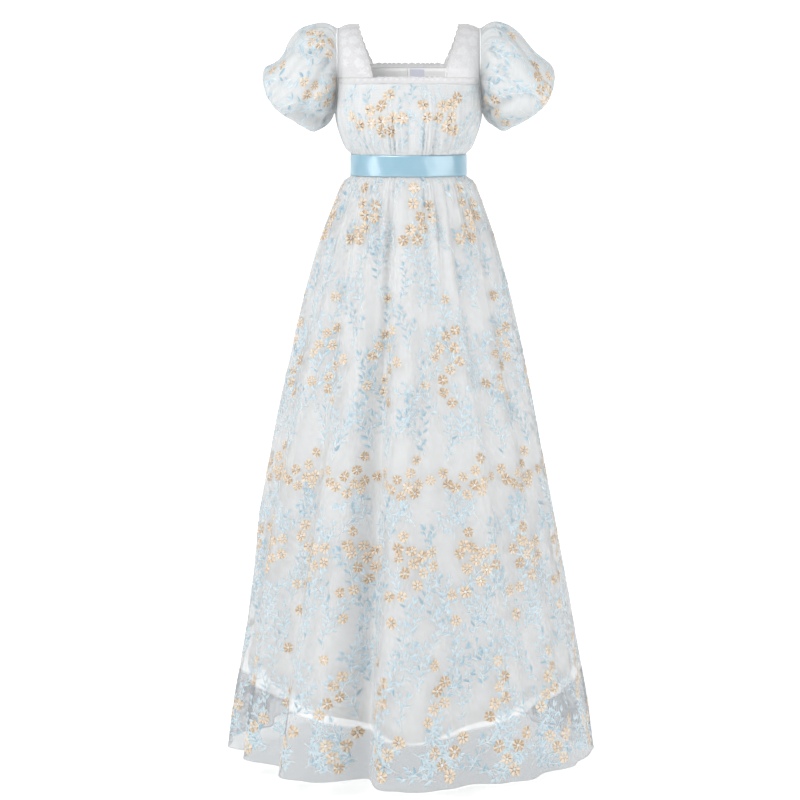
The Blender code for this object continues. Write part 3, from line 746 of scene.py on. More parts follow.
class Embroidery:
    """Stitches on one cloth, kept apart by the panel on which each of them starts."""

    def __init__(self, cloth, name, slot, per_gather=None):
        self.cloth, self.name, self.slot = cloth, name, slot
        self.panels = panels(per_gather) if per_gather else [("whole", 0, cloth.last)]
        self.kept = {side: [] for side, _, _ in self.panels}

    def keep(self, column, rows, columns, motif, local):
        """Files a motif's points under the panel that its column lies in."""
        for side, first, last in self.panels:
            if first <= column <= last:
                self.kept[side].append((rows, columns, motif, local))
                return

    def put(self, motif, row, column, angle=0.0, scale=(1, 1)):
        """Lays a motif down at a place, if all of it lies on the cloth."""
        laid = turned(motif, angle, scale)
        rows, columns, inside = self.cloth.move(row, column, laid.points[:, 0], laid.points[:, 1])
        if inside:
            self.keep(column, rows, columns, laid, motif.points[:, :2] * scale)

    def stem(self, path, width=0.0013):
        """A raised line of stitches along a path of rows and columns."""
        rows, columns, points, faces = [], [], [], []
        for i, (row, column, heading) in enumerate(path):
            half = width / 2 * (1 - 0.5 * i / len(path))
            across = np.array([-half, 0, half])
            x, y = across * math.cos(heading), across * -math.sin(heading)
            row_three, column_three, inside = self.cloth.move(row, column, x, y)
            if not inside:
                break
            rows.append(row_three)
            columns.append(column_three)
            points += [(-half, i, 0.0001), (0, i, 0.0006), (half, i, 0.0001)]
        if len(rows) < 2:
            return
        end = 3 * (len(rows) - 1)
        for a in range(0, end, 3):
            b = a + 3
            faces += [(a, a + 1, b + 1, b), (a + 1, a + 2, b + 2, b + 1), (a + 2, a, b, b + 2)]
        faces += [(0, 2, 1), (end, end + 1, end + 2)]
        motif = Motif(np.array(points, dtype=float), faces, ["stem"] * len(faces))
        rows, columns = np.concatenate(rows), np.concatenate(columns)
        self.keep(path[0][1], rows, columns, motif, motif.points[:, :2])

    def walk(self, row, column, heading, length, curl, steps):
        """Places along a curved path, each with its heading, clockwise from straight up."""
        path = [(row, column, heading)]
        for _ in range(steps):
            heading += curl / steps
            x, y = math.sin(heading) * length / steps, math.cos(heading) * length / steps
            place = self.cloth.step(row, column, x, y)
            if not place:
                break
            row, column = place
            path.append((row, column, heading))
        return path

    def fern(self, row, column, heading, length, leaf, curl, branches=0, ink=None):
        """A curved stem with leaves to both sides that get smaller towards its tip."""
        path = self.walk(row, column, heading, length, curl, 2 * max(2, int(length / (leaf * 0.84))))
        self.stem(path)
        main = ink or LEAF_INKS[rng.integers(len(LEAF_INKS) - 1)]
        for i, (r, c, toward) in enumerate(path[1:], 1):
            if rng.random() < 0.10:
                continue
            side = -1 if i % 2 else 1
            small = leaf * (1 - 0.35 * i / len(path)) * rng.uniform(0.8, 1.15)
            chosen = main if rng.random() < 0.7 else LEAF_INKS[rng.integers(len(LEAF_INKS))]
            slim = small * rng.uniform(0.29, 0.42)
            self.put(LEAVES[chosen], r, c, toward + side * rng.uniform(0.55, 0.95), (slim, small))
        r, c, toward = path[-1]
        self.put(LEAVES[main], r, c, toward, (0.4 * leaf, 0.8 * leaf))
        for k in range(branches):
            r, c, toward = path[min(len(path) - 1, 1 + (k + 1) * len(path) // (branches + 2))]
            side = -1 if k % 2 else 1
            short = length * rng.uniform(0.38, 0.55)
            self.fern(r, c, toward + side * 0.8, short, leaf * 0.9, -side * 0.5, 0, main)

    def cluster(self, row, column, offsets, radius):
        """Flowers at offsets in millimetres, right and up, from a place."""
        for x, y in offsets:
            jitter = rng.uniform(-0.0012, 0.0012, 2)
            place = self.cloth.step(row, column, x / 1000 + jitter[0], y / 1000 + jitter[1])
            if place:
                motif = FLOWERS[rng.integers(len(FLOWERS))]
                wide, tall = radius * rng.uniform(0.88, 1.1), radius * rng.uniform(0.88, 1.1)
                self.put(motif, *place, rng.uniform(0, 2 * math.pi), (wide, tall))

    def seam(self, rows, columns, step=0.003, width=0.0006):
        """A line of running stitches along a path. Its rows or its columns may be one number."""
        rows, columns = np.broadcast_arrays(rows, columns)
        length = gone(self.cloth.at(rows, columns, np.zeros(len(rows))))
        marks = np.arange(step / 2, length[-1] - step, step)
        row_marks, column_marks = np.interp(marks, length, rows), np.interp(marks, length, columns)
        ahead = np.interp(marks + step, length, rows) - row_marks
        right = np.interp(marks + step, length, columns) - column_marks
        for row, column, down, across in zip(row_marks, column_marks, ahead, right):
            tall = self.cloth.down[-1, int(column)] / len(self.cloth.row_numbers)
            wide = self.cloth.across[int(row), -1] / len(self.cloth.column_numbers)
            heading = math.atan2(across * wide, -down * tall)
            self.put(DASH, row, column, heading, (width, step * 0.62))

    def build(self, finishes):
        """One joined object for each panel."""
        made = {}
        for side, kept in self.kept.items():
            if not kept:
                continue
            rows, columns, motifs, local = zip(*kept)
            whole = joined(motifs)
            vertices = self.cloth.at(np.concatenate(rows), np.concatenate(columns), whole.points[:, 2])
            name = self.name.format(side)
            piece = new_object(name, vertices, whole.faces, finishes, smooth=False)
            piece.data.polygons.foreach_set("material_index", [INKS.index(ink) for ink in whole.inks])
            write_uv(piece, np.concatenate(local)[np.concatenate([np.array(f) for f in whole.faces])])
            made[side] = piece
        return made


def shade(colour, factor):
    """A colour made darker or lighter."""
    return tuple(min(1.0, c * factor) for c in colour)


class Finish:
    """A Principled material with the nodes that lead to it."""

    def __init__(self, name, roughness, sheen=0.0, alpha=1.0, specular=0.5):
        self.material = bpy.data.materials.new(name)
        self.material.use_nodes = True
        self.nodes = self.material.node_tree.nodes
        self.sockets = self.nodes["Principled BSDF"].inputs
        self.give(self.sockets["Roughness"], roughness)
        self.give(self.sockets["Sheen Weight"], sheen)
        self.give(self.sockets["Alpha"], alpha)
        self.give(self.sockets["Specular IOR Level"], specular)
        self.place = self.node("TexCoord", "Object")
        self.uv = self.node("UVMap", "UV", uv_map="cloth")

    def give(self, socket, value):
        """Links a socket to another node's output, or sets its value."""
        if isinstance(value, bpy.types.NodeSocket):
            self.material.node_tree.links.new(value, socket)
        else:
            socket.default_value = value

    def node(self, kind, output, inputs=(), **settings):
        """An output of a new node. Its inputs are pairs of a name or number and what it gets."""
        made = self.nodes.new(f"ShaderNode{kind}")
        for name, value in settings.items():
            setattr(made, name, value)
        for name, value in inputs:
            self.give(made.inputs[name], value)
        return made.outputs[output]

    def maths(self, operation, one, two):
        """Two numbers, each an output or a value, joined by an operation."""
        return self.node("Math", "Value", [(0, one), (1, two)], operation=operation)

    def noise(self, vector, scale, detail=2.0):
        """A noise texture."""
        inputs = [("Scale", scale), ("Detail", detail), ("Vector", vector)]
        return self.node("TexNoise", "Fac", inputs)

    def streaks(self, scale, detail=2.0):
        """Noise drawn out unevenly along the cloth."""
        vector = self.node("Mapping", "Vector", [("Scale", scale), ("Vector", self.uv)])
        return self.noise(vector, 1.0, detail)

    def slubs(self):
        """The thicker stretches of a yarn."""
        return self.streaks((14, 420, 1), 3.0)

    def threads(self, spacing, direction="X"):
        """Fine parallel threads with a spacing in metres."""
        scale = math.pi / 10 / spacing
        inputs = [("Scale", scale), ("Distortion", 0.6), ("Vector", self.uv)]
        return self.node("TexWave", "Fac", inputs, bands_direction=direction)

    def ramp(self, factor, low, high, start=0.3, end=0.7):
        """A colour ramp between two linear colours."""
        output = self.node("ValToRGB", "Color", [("Fac", factor)])
        ends = output.node.color_ramp.elements
        ends[0].position, ends[1].position = start, end
        ends[0].color, ends[1].color = (*low, 1.0), (*high, 1.0)
        return output

    def colour(self, *ramp):
        """Gives the shader a colour that changes over the surface."""
        self.give(self.sockets["Base Color"], self.ramp(*ramp))

    def bump(self, height, distance, strength):
        """Gives the shader a bump from a height."""
        inputs = [("Distance", distance), ("Strength", strength), ("Height", height)]
        self.give(self.sockets["Normal"], self.node("Bump", "Normal", inputs))

    def weave(self, spacing, strength, slubs=None):
        """Gives the shader the bump of a plain weave, with slubs or even."""
        height = self.maths("ADD", self.threads(spacing, "X"), self.threads(spacing, "Y"))
        if slubs is not None:
            height = self.maths("ADD", height, slubs)
        self.bump(height, spacing * 0.4, strength)

    def below_lining(self):
        """From under 0 above the lining's hem to over 1 below it, where the net gets its painted shade
        and painted glow.
        """
        x, z = (self.node("SeparateXYZ", axis, [("Vector", self.place)]) for axis in "XZ")
        aside = self.maths("POWER", self.maths("MULTIPLY", x, x), 0.75)
        rise = self.maths("MULTIPLY", aside, LINING_HEM_RISE / HEM_HALF_WIDTH**1.5)
        below = self.maths("SUBTRACT", self.maths("SUBTRACT", rise, z), LINING_HEM_FRONT)
        return self.maths("ADD", self.maths("DIVIDE", below, SHEER_REACH), 0.5)


NET_SPACING = 0.0006  # between the threads of each weave
LINING_SPACING = 0.0004
LABEL_SPACING = 0.0005


def woven(name, colour, spacing, roughness, sheen=0.0, alpha=1.0, slub=0.04, bump=0.4):
    """A plain weave with slubs and a slight change of tone."""
    made = Finish(name, roughness, sheen, alpha)
    slubs = made.slubs()
    made.colour(slubs, shade(colour, 1 - slub), shade(colour, 1 + slub))
    made.weave(spacing, bump, slubs)
    return made.material


def skirt_net_finish():
    """The skirt's net, with painted shade that makes it greyer below the lining's hem, where it is
    sheer.
    """
    made = Finish("embroidered_net", 0.60, 0.20, 0.42)
    slubs = made.slubs()
    factor = made.maths("ADD", made.below_lining(), made.maths("MULTIPLY", slubs, 0.16))
    # Painted shade: the net turns grey below the lining's hem
    made.colour(factor, NET_WHITE, SHEER_PAINTED_SHADE, 0.0, 1.0)
    made.weave(NET_SPACING, 0.4, slubs)
    return made.material


def net_inside_finish(name, painted_glow):
    """The skirt net's inner face, greyer with painted shade below the lining's hem, and glowing with
    painted light that stands in for light shining through the net, faintly where lined and more below
    the hem.
    """
    made = Finish(name, 0.60, 0.20, 0.38)
    sheer = made.below_lining()
    # Painted shade: the inner face turns greyer below the lining's hem
    made.colour(sheer, NET_WHITE, SHEER_INSIDE_PAINTED_SHADE, 0.0, 1.0)
    # Painted light: the inner face glows, faintly where lined and more below the lining's hem
    made.give(made.sockets["Emission Color"], made.ramp(sheer, LINED_PAINTED_GLOW, painted_glow, 0.0, 1.0))
    made.give(made.sockets["Emission Strength"], 1.0)
    made.weave(NET_SPACING, 0.4)
    return made.material


def thread(name, tones):
    """A shiny embroidery thread whose tone changes from place to place."""
    made = Finish(name, 0.50, 0.20)
    made.colour(made.noise(made.place, 120.0, 1.0), *tones, 0.35, 0.65)
    made.bump(made.threads(0.0008), 0.0003, 0.25)
    return made.material


def lace_finish():
    """Cotton lace: a fine open mesh ground with soft threads."""
    made = Finish("lace", 0.75, 0.3, 0.50)
    cells = made.node("TexVoronoi", "Distance", [("Scale", 700.0), ("Vector", made.uv)])
    made.colour(cells, LACE_WHITE, shade(LACE_WHITE, 0.88), 0.15, 0.75)
    made.bump(cells, 0.0006, 0.4)
    return made.material


def cord_finish():
    """The thicker threads and fillings of the lace."""
    made = Finish("lace_cord", 0.8, 0.1, 0.50)
    made.colour(made.noise(made.place, 220.0), shade(LACE_WHITE, 1.02), shade(LACE_WHITE, 1.08))
    made.bump(made.threads(0.0006), 0.0003, 0.15)
    return made.material


def satin_finish():
    """Satin ribbon: long smooth floats that shine in bands across it."""
    made = Finish("satin_ribbon", 0.30, specular=1.0)
    made.give(made.sockets["IOR"], 1.65)
    streaks = made.streaks((6, 900, 1))
    made.colour(streaks, shade(RIBBON_BLUE, 0.95), shade(RIBBON_BLUE, 1.05))
    made.bump(streaks, 0.0001, 0.30)
    return made.material


SKIRT_NET = skirt_net_finish()
NET_INSIDES = {
    "front": net_inside_finish("front_inside", FRONT_PAINTED_GLOW),
    "back": net_inside_finish("back_inside", BACK_PAINTED_GLOW),
}
BODICE_NET = woven("bodice_net", shade(NET_WHITE, 1.07), NET_SPACING, 0.60, 0.20, 0.62)
SLEEVE_NET = woven("sleeve_net", SLEEVE_WHITE, NET_SPACING, 0.60, 0.20, 0.66)
PLAIN_LINING = woven("lining", LINING_WHITE, LINING_SPACING, 0.50, 0.10, slub=0.02, bump=0.15)
LINING_HEM = woven("lining_hem", HEM_WHITE, LINING_SPACING, 0.50, 0.10, slub=0.02, bump=0.15)
NET_HEM = woven("net_hem", shade(NET_WHITE, 1.30), NET_SPACING, 0.60, 0.20, 0.95)
LABEL_TAPE = woven("label", LABEL_WHITE, LABEL_SPACING, 0.55)
LACE_GROUND = lace_finish()
LACE_CORD = cord_finish()
SATIN = satin_finish()
THREAD_FINISHES = [thread(ink, tones) for ink, tones in THREADS.items()]
LACE_FINISHES = [LACE_CORD] * len(INKS)


def ring_places(per_gather):
    """Places all round the gown, each column once."""
    return np.arange(GATHERS * per_gather) / per_gather


def panel_points(cloth, first, last):
    """The columns of a panel, with its outer ones drawn in at the seams."""
    points = cloth.points[:, first : last + 1].copy()
    for end, beside in ((0, 1), (-1, -2)):
        points[:, end] += unit(points[:, beside] - points[:, end]) * SEAM / 2
    return points


def make_panels(name, cloth, per_gather, thickness, finish, insides=None):
    """A front and two backs cut from one grid; the solid that each stands for is hidden."""
    for side, first, last in panels(per_gather):
        points = panel_points(cloth, first, last)
        inside = insides[side.split("_")[0]] if insides else None
        piece = shell(f"{name}_{side}_cloth", points, thickness, finish, inside=inside)
        declare(f"{name}_{side}", cloth.size(first, last))


# Flowers of the clusters, in millimetres right and up from each cluster's middle
GARLAND = [
    (16, 50), (3, 27), (-22, 14), (-52, 2), (-37, -7), (20, 5), (45, 12), (-1, 0), (-16, -18),
    (13, -11), (-60, 22),
]
STEPS = [(-12, 56), (-14, 26), (20, 22), (-2, 2), (24, -1), (3, -21), (-22, -24), (-36, -44), (-9, -42)]
SPRIG = [(26, 30), (6, 20), (20, -2), (-6, -2), (-19, -20)]
COLUMN = [(22, 48), (2, 33), (-13, 12), (-13, -11), (4, -30), (-48, 2)]
PAIR = [(5, 12), (-4, -12)]
BUNCH = [
    (4, 46), (-20, 34), (10, 22), (-8, 6), (28, 4), (50, 14), (48, 42), (26, 36), (16, -18),
    (-40, -42), (-14, -38),
]
SINGLE = [(0, 0)]
SLOPE = [(26, 46), (10, 28), (24, 6), (-1, -4), (-14, -27)]
SPRAY = [(-7, 10), (34, 8), (56, 30), (8, -15), (22, -36)]
BODICE_LEFT = [
    (22, 40), (10, 20), (-11, 11), (-54, -3), (-36, -20), (-10, -15), (13, -10), (36, -5), (55, -3),
    (10, -31), (30, -30),
]
BODICE_RIGHT = [
    (-46, 22), (-6, 19), (12, 23), (24, 34), (-42, -2), (-17, -3), (10, -3), (0, -20), (20, -28),
]

# The bands of flowers round the skirt: the drop of each, how far its first cluster lies to the
# right of the centre front, its flowers and their radius
BANDS = named(
    "drop start flowers radius",
    (0.358, 0.024, STEPS, 0.0123), (0.512, -0.05, SINGLE, 0.0112), (0.6, -0.066, SPRIG, 0.0108),
    (0.675, -0.05, COLUMN, 0.0108), (0.858, 0, GARLAND, 0.011), (0.96, -0.016, PAIR, 0.0118),
    (1.022, 0, BUNCH, 0.012), (1.112, -0.035, SINGLE, 0.0124), (1.19, 0.052, SINGLE, 0.0122),
    (1.268, -0.078, SLOPE, 0.0126), (1.362, 0.058, SPRAY, 0.0142),
)
REPEAT = 0.130
FEWEST_REPEATS = 6

# The bands of leaves: drop and place in the repeat of each fern's foot, its heading in degrees
# clockwise from straight up, its length and how many side sprigs it has
LEAFY = named(
    "drop share heading length branches",
    (0.318, 0.3, 4, 0.034, 0), (0.33, 0.8, -8, 0.04, 0), (0.335, 0.05, 8, 0.045, 0),
    (0.365, 0.55, -12, 0.06, 0), (0.4, 0.3, 14, 0.06, 1), (0.425, 0.75, -20, 0.055, 1),
    (0.45, 0.1, 6, 0.07, 2), (0.48, 0.48, -8, 0.075, 2), (0.515, 0.82, 16, 0.06, 1),
    (0.535, 0.2, -14, 0.08, 2), (0.565, 0.6, 10, 0.08, 2), (0.61, 0.02, -6, 0.08, 2),
    (0.64, 0.38, 22, 0.06, 1), (0.655, 0.7, -10, 0.075, 2), (0.7, 0.16, 12, 0.085, 2),
    (0.73, 0.5, -18, 0.08, 2), (0.77, 0.84, 5, 0.08, 2), (0.8, 0.26, -8, 0.09, 3),
    (0.815, 0.62, 16, 0.075, 2), (0.88, 0.94, 205, 0.05, 1), (0.9, 0.34, 160, 0.06, 2),
    (0.93, 0.1, -16, 0.06, 1), (0.96, 0.72, 12, 0.085, 2), (1, 0.44, -10, 0.07, 1),
    (1.06, 0.88, 8, 0.085, 2), (1.085, 0.2, 24, 0.08, 2), (1.1, 0.6, -14, 0.09, 2),
    (1.145, 0.02, 10, 0.085, 2), (1.17, 0.36, -8, 0.095, 3), (1.2, 0.76, 18, 0.09, 2),
    (1.24, 0.14, -20, 0.09, 2), (1.265, 0.52, 8, 0.1, 3), (1.3, 0.33, 166, 0.062, 3),
    (1.31, 0.88, -10, 0.09, 2), (1.352, 0.46, 118, 0.044, 2), (1.34, 0.26, 16, 0.09, 2),
    (1.375, 0.62, -24, 0.08, 2), (1.395, 0.98, 50, 0.06, 1), (1.405, 0.4, -55, 0.06, 1),
    (1.35, 0.06, 95, 0.06, 2), (1.388, 0.8, -72, 0.066, 2), (1.402, 0.14, 74, 0.06, 1),
)


def round_the_skirt(cloth, drops, drop, start):
    """The row at a drop, and the columns of a repeat that starts right of the centre front."""
    row = float(np.interp(drop, drops, np.arange(len(drops))))
    arc = cloth.across[int(round(row))]
    count = max(FEWEST_REPEATS, round(arc[-1] / REPEAT))
    centre = np.interp(CENTRE_FRONT * NET_COLUMNS, cloth.column_numbers, arc)
    marks = (centre + start + np.arange(count) * arc[-1] / count) % arc[-1]
    return row, np.interp(marks, arc, cloth.column_numbers)


def embroider_skirt(cloth, drops):
    """Bands of flower clusters, ferns between them and the seams at the centre back."""
    work = Embroidery(cloth, "skirt_{}_embroidery", "embroidered_net", NET_COLUMNS)
    for band in LEAFY:
        row, columns = round_the_skirt(cloth, drops, band.drop, band.share * REPEAT)
        for column in columns:
            heading = math.radians(band.heading + rng.uniform(-24, 24))
            length = band.length * rng.uniform(0.85, 1.15)
            leaf = rng.uniform(0.0150, 0.0205)
            work.fern(row, column, heading, length, leaf, rng.uniform(-0.8, 0.8), band.branches)
    for band in BANDS:
        row, columns = round_the_skirt(cloth, drops, band.drop, band.start)
        for column in columns:
            work.cluster(row, column, band.flowers, band.radius)
    for place in BACK_SEAMS:
        work.seam(np.linspace(4, 60, 57), place * NET_COLUMNS, 0.0036)
    return work.build(THREAD_FINISHES)


def make_skirt():
    """The embroidered net skirt with its rolled hem."""
    drops = np.concatenate([np.linspace(*stretch) for stretch in SKIRT_ROWS])
    cloth = Cloth(net(ring_places(NET_COLUMNS)[None, :], drops[:, None]), ring=True)
    work = embroider_skirt(cloth, drops)
    for side, first, last in panels(NET_COLUMNS):
        stretch = slice(first, last + 1)
        path, normals = cloth.points[-1, stretch] + (0, 0, ROLLED_HEM), cloth.normals[-1, stretch]
        name = f"skirt_{side}_rolled_hem"
        tube(name, path, normals, ROLLED_HEM, NET_HEM)
    make_panels(
        "skirt", cloth, NET_COLUMNS, NET, SKIRT_NET,
        NET_INSIDES,
    )


def make_skirt_lining():
    """The skirt's lining, with the doubled and stitched band along its hem."""
    u = ring_places(LINING_COLUMNS)[None, :]
    start = WAIST_SEAM + SEAM / 2
    drops = start + (lining_hem(u) - start) * np.linspace(0, 1, LINING_ROWS)[:, None] ** 0.9
    cloth = Cloth(lining(u, drops), ring=True)
    drops = lining_hem(u) - LINING_HEM_DEEP * (1 - np.linspace(0, 1, HEM_BAND_ROWS)[:, None])
    band = lining(u, drops)
    band = Cloth(band + grid_normals(band, True) * (LINING + 0.0004), ring=True)
    work = Embroidery(band, "skirt_lining_{}_hem_stitches", "lining", LINING_COLUMNS)
    work.seam(0.3, np.linspace(0.5, u.size - 0.5, 4 * u.size), 0.0045, 0.0008)
    stitches = work.build(THREAD_FINISHES)
    for side, first, last in panels(LINING_COLUMNS):
        points = panel_points(band, first, last)
        shell(f"skirt_lining_{side}_hem", points, LINING, LINING_HEM)
    make_panels(
        "skirt_lining", cloth, LINING_COLUMNS, LINING, PLAIN_LINING,
    )


BODICE_DROP = 0.168
BODICE_FERNS = zip(np.linspace(0.3, 27.7, 40), np.tile([12, -18, 30, -8, 22], 8))
BODICE_FERN_DROPS = (0.15, 0.196, 0.236)
BODICE_CLUSTERS = ((11.7, BODICE_LEFT), (16.65, BODICE_RIGHT), (25.2, BODICE_LEFT), (2.6, BODICE_RIGHT))
DARTS = ((11.1, 11.6), (16.9, 16.4))
DART_TOP, DART_FOOT = 0.109, 0.16


def bodice_grid(layer, per_gather, rows):
    """A layer of the bodice and its drops. Its last row lies under the ribbon."""
    u = ring_places(per_gather)[None, :]
    share = np.append(np.linspace(0, 1, rows), 1.04)[:, None]
    top = bodice_top(u)
    drops = np.where(share > 1, WAIST_SEAM - SEAM / 2, top + (BODICE_FOOT - top) * share)
    return Cloth(layer(u, drops), ring=True), drops


def embroider_bodice(cloth, drops):
    """Ferns, flower clusters, dart seams and the seams at the centre back."""
    work = Embroidery(cloth, "bodice_{}_embroidery", "embroidered_net", NET_COLUMNS)
    count = drops.shape[1]

    def row_at(column, drop):
        return float(np.interp(drop, drops[:, int(column) % count], np.arange(len(drops))))

    for start, heading in BODICE_FERNS:
        for drop in BODICE_FERN_DROPS:
            place = start * NET_COLUMNS + rng.uniform(-6, 6)
            turn = math.radians(heading + rng.uniform(-25, 25))
            row = row_at(place, drop)
            leaf = rng.uniform(0.0120, 0.0150)
            work.fern(row, place % count, turn, rng.uniform(0.030, 0.046), leaf, rng.uniform(-1, 1))
    for centre, flowers in BODICE_CLUSTERS:
        column = centre * NET_COLUMNS
        work.cluster(row_at(column, BODICE_DROP), column, flowers, 0.0122)
    for top, foot in DARTS:
        columns = np.linspace(top, foot, 16) * NET_COLUMNS
        fall = np.linspace(DART_TOP, DART_FOOT, 16)
        work.seam([row_at(column, drop) for column, drop in zip(columns, fall)], columns)
    for place in BACK_SEAMS:
        work.seam(np.linspace(1, BODICE_ROWS - 1, 40), place * NET_COLUMNS, 0.0034)
    return work.build(THREAD_FINISHES)


def make_bodice():
    """The gathered and embroidered bodice over its lining."""
    cloth, drops = bodice_grid(net, NET_COLUMNS, BODICE_ROWS)
    work = embroider_bodice(cloth, drops)
    make_panels(
        "bodice", cloth, NET_COLUMNS, NET, BODICE_NET,
    )
    cloth, _ = bodice_grid(lining, LINING_COLUMNS, BODICE_LINING_ROWS)
    make_panels(
        "bodice_lining", cloth, LINING_COLUMNS, LINING, PLAIN_LINING,
    )


# Sleeve embroidery: rings with ferns, and ring, turn in degrees and flowers of each group
FERN_RINGS = (0.5, 1.5, 2.5, 3.5, 4.5, 5.6)
BLOOMS = {
    "left": [
        (4.7, 64, SPRIG), (5, 84, SPRIG), (2, 138, SLOPE), (2.7, 30, SINGLE), (3, 300, STEPS),
        (2.4, 230, SPRIG),
    ],
    "right": [
        (0.9, 52, STEPS), (1.4, 112, STEPS), (4.2, 46, PAIR), (2.6, 300, STEPS), (2.2, 235, SPRIG),
    ],
}


def make_sleeve(side):
    """A puff sleeve with its embroidery and the piped seam of its armhole."""
    cloth = Cloth(sleeve_points(side), ring=True)

    def place(ring, degrees):
        turn = degrees / 360 if side == "right" else 1 - degrees / 360
        return ring / len(SLEEVE) * (SLEEVE_ROWS - 1), (turn % 1.0) * SLEEVE_COLUMNS

    work = Embroidery(cloth, f"sleeve_{side}_embroidery", "embroidered_net")
    for ring in FERN_RINGS:
        for k in range(SLEEVE_FERNS):
            degrees = (k + rng.uniform(-0.3, 0.3) + ring / 2) * 360 / SLEEVE_FERNS
            row, column = place(ring + rng.uniform(-0.2, 0.2), degrees)
            heading = math.pi + rng.uniform(-0.9, 0.9)
            leaf = rng.uniform(0.0170, 0.0220)
            work.fern(row, column, heading, rng.uniform(0.040, 0.064), leaf, rng.uniform(-1, 1))
    for ring, degrees, flowers in BLOOMS[side]:
        work.cluster(*place(ring, degrees), flowers, 0.0110)
    stitches = work.build(THREAD_FINISHES)["whole"]
    piping = tube(
        f"sleeve_{side}_piping", cloth.open[0], grid_normals(cloth.open, True)[0], 0.0011, NET_HEM,
        closed=True,
    )
    piece = shell(f"sleeve_{side}_cloth", cloth.open, NET, SLEEVE_NET, ring=True)
    declare(f"sleeve_{side}", cloth.size())


def lace_fan(work, row, column, heading, size):
    """Three small petals that open towards the edge of a scallop."""
    for turn in (-0.75, 0.0, 0.75):
        work.put(LACE_LEAF, row, column, heading + turn, (0.42 * size, size))


def make_lace(name, work, edges, radius):
    """A lace piece: its raised work, a cord along each of two edges and its ground."""
    cloth = work.cloth
    sewn = [work.build(LACE_FINISHES)["whole"]]
    for edge, where in edges:
        path, normals = cloth.points[where], cloth.normals[where]
        sewn.append(tube(f"{name}_{edge}_cord", path, normals, radius, LACE_CORD))
    piece = shell(f"{name}_lace", cloth.points, LACE, LACE_GROUND)
    declare(name, cloth.size())


def strap_grid(side):
    """The outer face of a strap. Rows run from its front foot to its back foot."""
    rows = []
    for t in np.linspace(0, 1, STRAP_ROWS):
        row = strap_row(t, STRAP_COLUMNS)
        row[0] -= unit(row[-1] - row[0]) * (SCALLOP * abs(math.sin(STRAP_SCALLOPS * math.pi * t)))
        rows.append(row)
    points = np.array(rows)
    points = points[:, ::-1] if side == "left" else points * (-1, 1, 1)
    return points + grid_normals(points, False) * SOLID_LACE


def make_strap(side):
    """A lace shoulder strap with a scalloped inner edge, raised flowers and leaves."""
    work = Embroidery(Cloth(strap_grid(side)), f"strap_{side}_relief", "lace")
    last = work.cloth.last
    column, toward = (last - 1.2, math.pi / 2) if side == "left" else (1.2, -math.pi / 2)
    for k in range(STRAP_SCALLOPS):
        lace_fan(work, (k + 0.5) / STRAP_SCALLOPS * (STRAP_ROWS - 1), column, toward, 0.0048)
    for k in range(STRAP_FLOWERS):
        row = (k + 0.5) / STRAP_FLOWERS * (STRAP_ROWS - 1)
        flower_share, leaf_share = (0.30, 0.74) if k % 2 else (0.66, 0.22)
        work.put(LACE_FLOWER, row, flower_share * last, rng.uniform(0, 6), (0.0110, 0.0110))
        for turn in (0.5, 1.5, 2.6, 3.6, 4.7, 5.7):
            work.put(LACE_LEAF, row, leaf_share * last, turn, (0.0048, 0.0110))
    edges = (("inner", np.s_[:, 0]), ("outer", np.s_[:, -1]))
    make_lace(f"strap_{side}", work, edges, 0.0009)


def make_edging(side, middle, half, strap, neck, width):
    """The scalloped lace edging along one neckline."""
    reach = round(half * NET_COLUMNS)
    u = middle + np.arange(-reach, reach + 1) / NET_COLUMNS
    free = np.clip((strap - 0.2 - np.abs(u - middle)) / 0.1, 0, 1)
    wave = SCALLOP * np.abs(np.sin(2 * np.pi * u)) * free
    share = np.linspace(0, 1, EDGING_ROWS)[:, None]
    drops = (neck - wave)[None, :] * (1 - share) + (neck + width) * share
    name = f"neck_edging_{side}"
    cloth = Cloth(around(np.broadcast_to(u, drops.shape), drops, 0.0))
    work = Embroidery(cloth, f"{name}_relief", "lace")
    for k in range(int(-half * 2), int(half * 2) + 1):
        column = (k / 2 + 0.25 + half) * NET_COLUMNS
        if column < cloth.last - 2:
            lace_fan(work, 4.6, column, 0.0, 0.0058)
            work.put(LACE_LEAF, 7.6, column, math.pi / 2, (0.0022, 0.0070))
    for row in (5.6, 7.0):
        work.seam(row, np.linspace(1, cloth.last - 1, 120))
    make_lace(name, work, (("top", 0), ("foot", -1)), 0.0008)


def ribbon_points(u, top, foot, out, rows=15):
    """A band round the waist whose edges turn in slightly, with a faint uneven pull."""
    share = np.linspace(0, 1, rows)[:, None]
    drops = top + (foot - top) * share + 0 * u
    turn = 2 * math.pi * u / GATHERS
    edge = 0.0005 * (2 * share - 1) ** 8
    pull = 0.0003 * np.sin(7 * turn + 5 * share) + 0.0002 * np.sin(17 * turn - 4 * share)
    return around(np.broadcast_to(u, drops.shape), drops, edge + pull - out)


def make_ribbon():
    """The satin ribbon round the waist, and the end that laps over it at the back."""
    points = ribbon_points(ring_places(RIBBON_COLUMNS), RIBBON_TOP, RIBBON_FOOT, RIBBON_OUT)
    band = shell("ribbon_band", points, RIBBON, SATIN, ring=True)
    size = Cloth(points, ring=True).size()
    declare("ribbon", size)
    u = np.linspace(-LAP_FROM, LAP_TO, 60) / 360 * GATHERS
    cloth = Cloth(ribbon_points(u, RIBBON_TOP + SEAM, RIBBON_FOOT - SEAM, RIBBON_OUT + LAP_OUT + SEAM))
    work = Embroidery(cloth, "ribbon_lap_stitches", "satin_ribbon")
    for column in (2.0, 57.0):
        work.seam(np.linspace(0.6, 13.4, 20), column)
    sewn = work.build(THREAD_FINISHES).values()
    lap = shell("ribbon_lap_band", cloth.points, RIBBON, SATIN)
    declare("ribbon_lap", cloth.size())


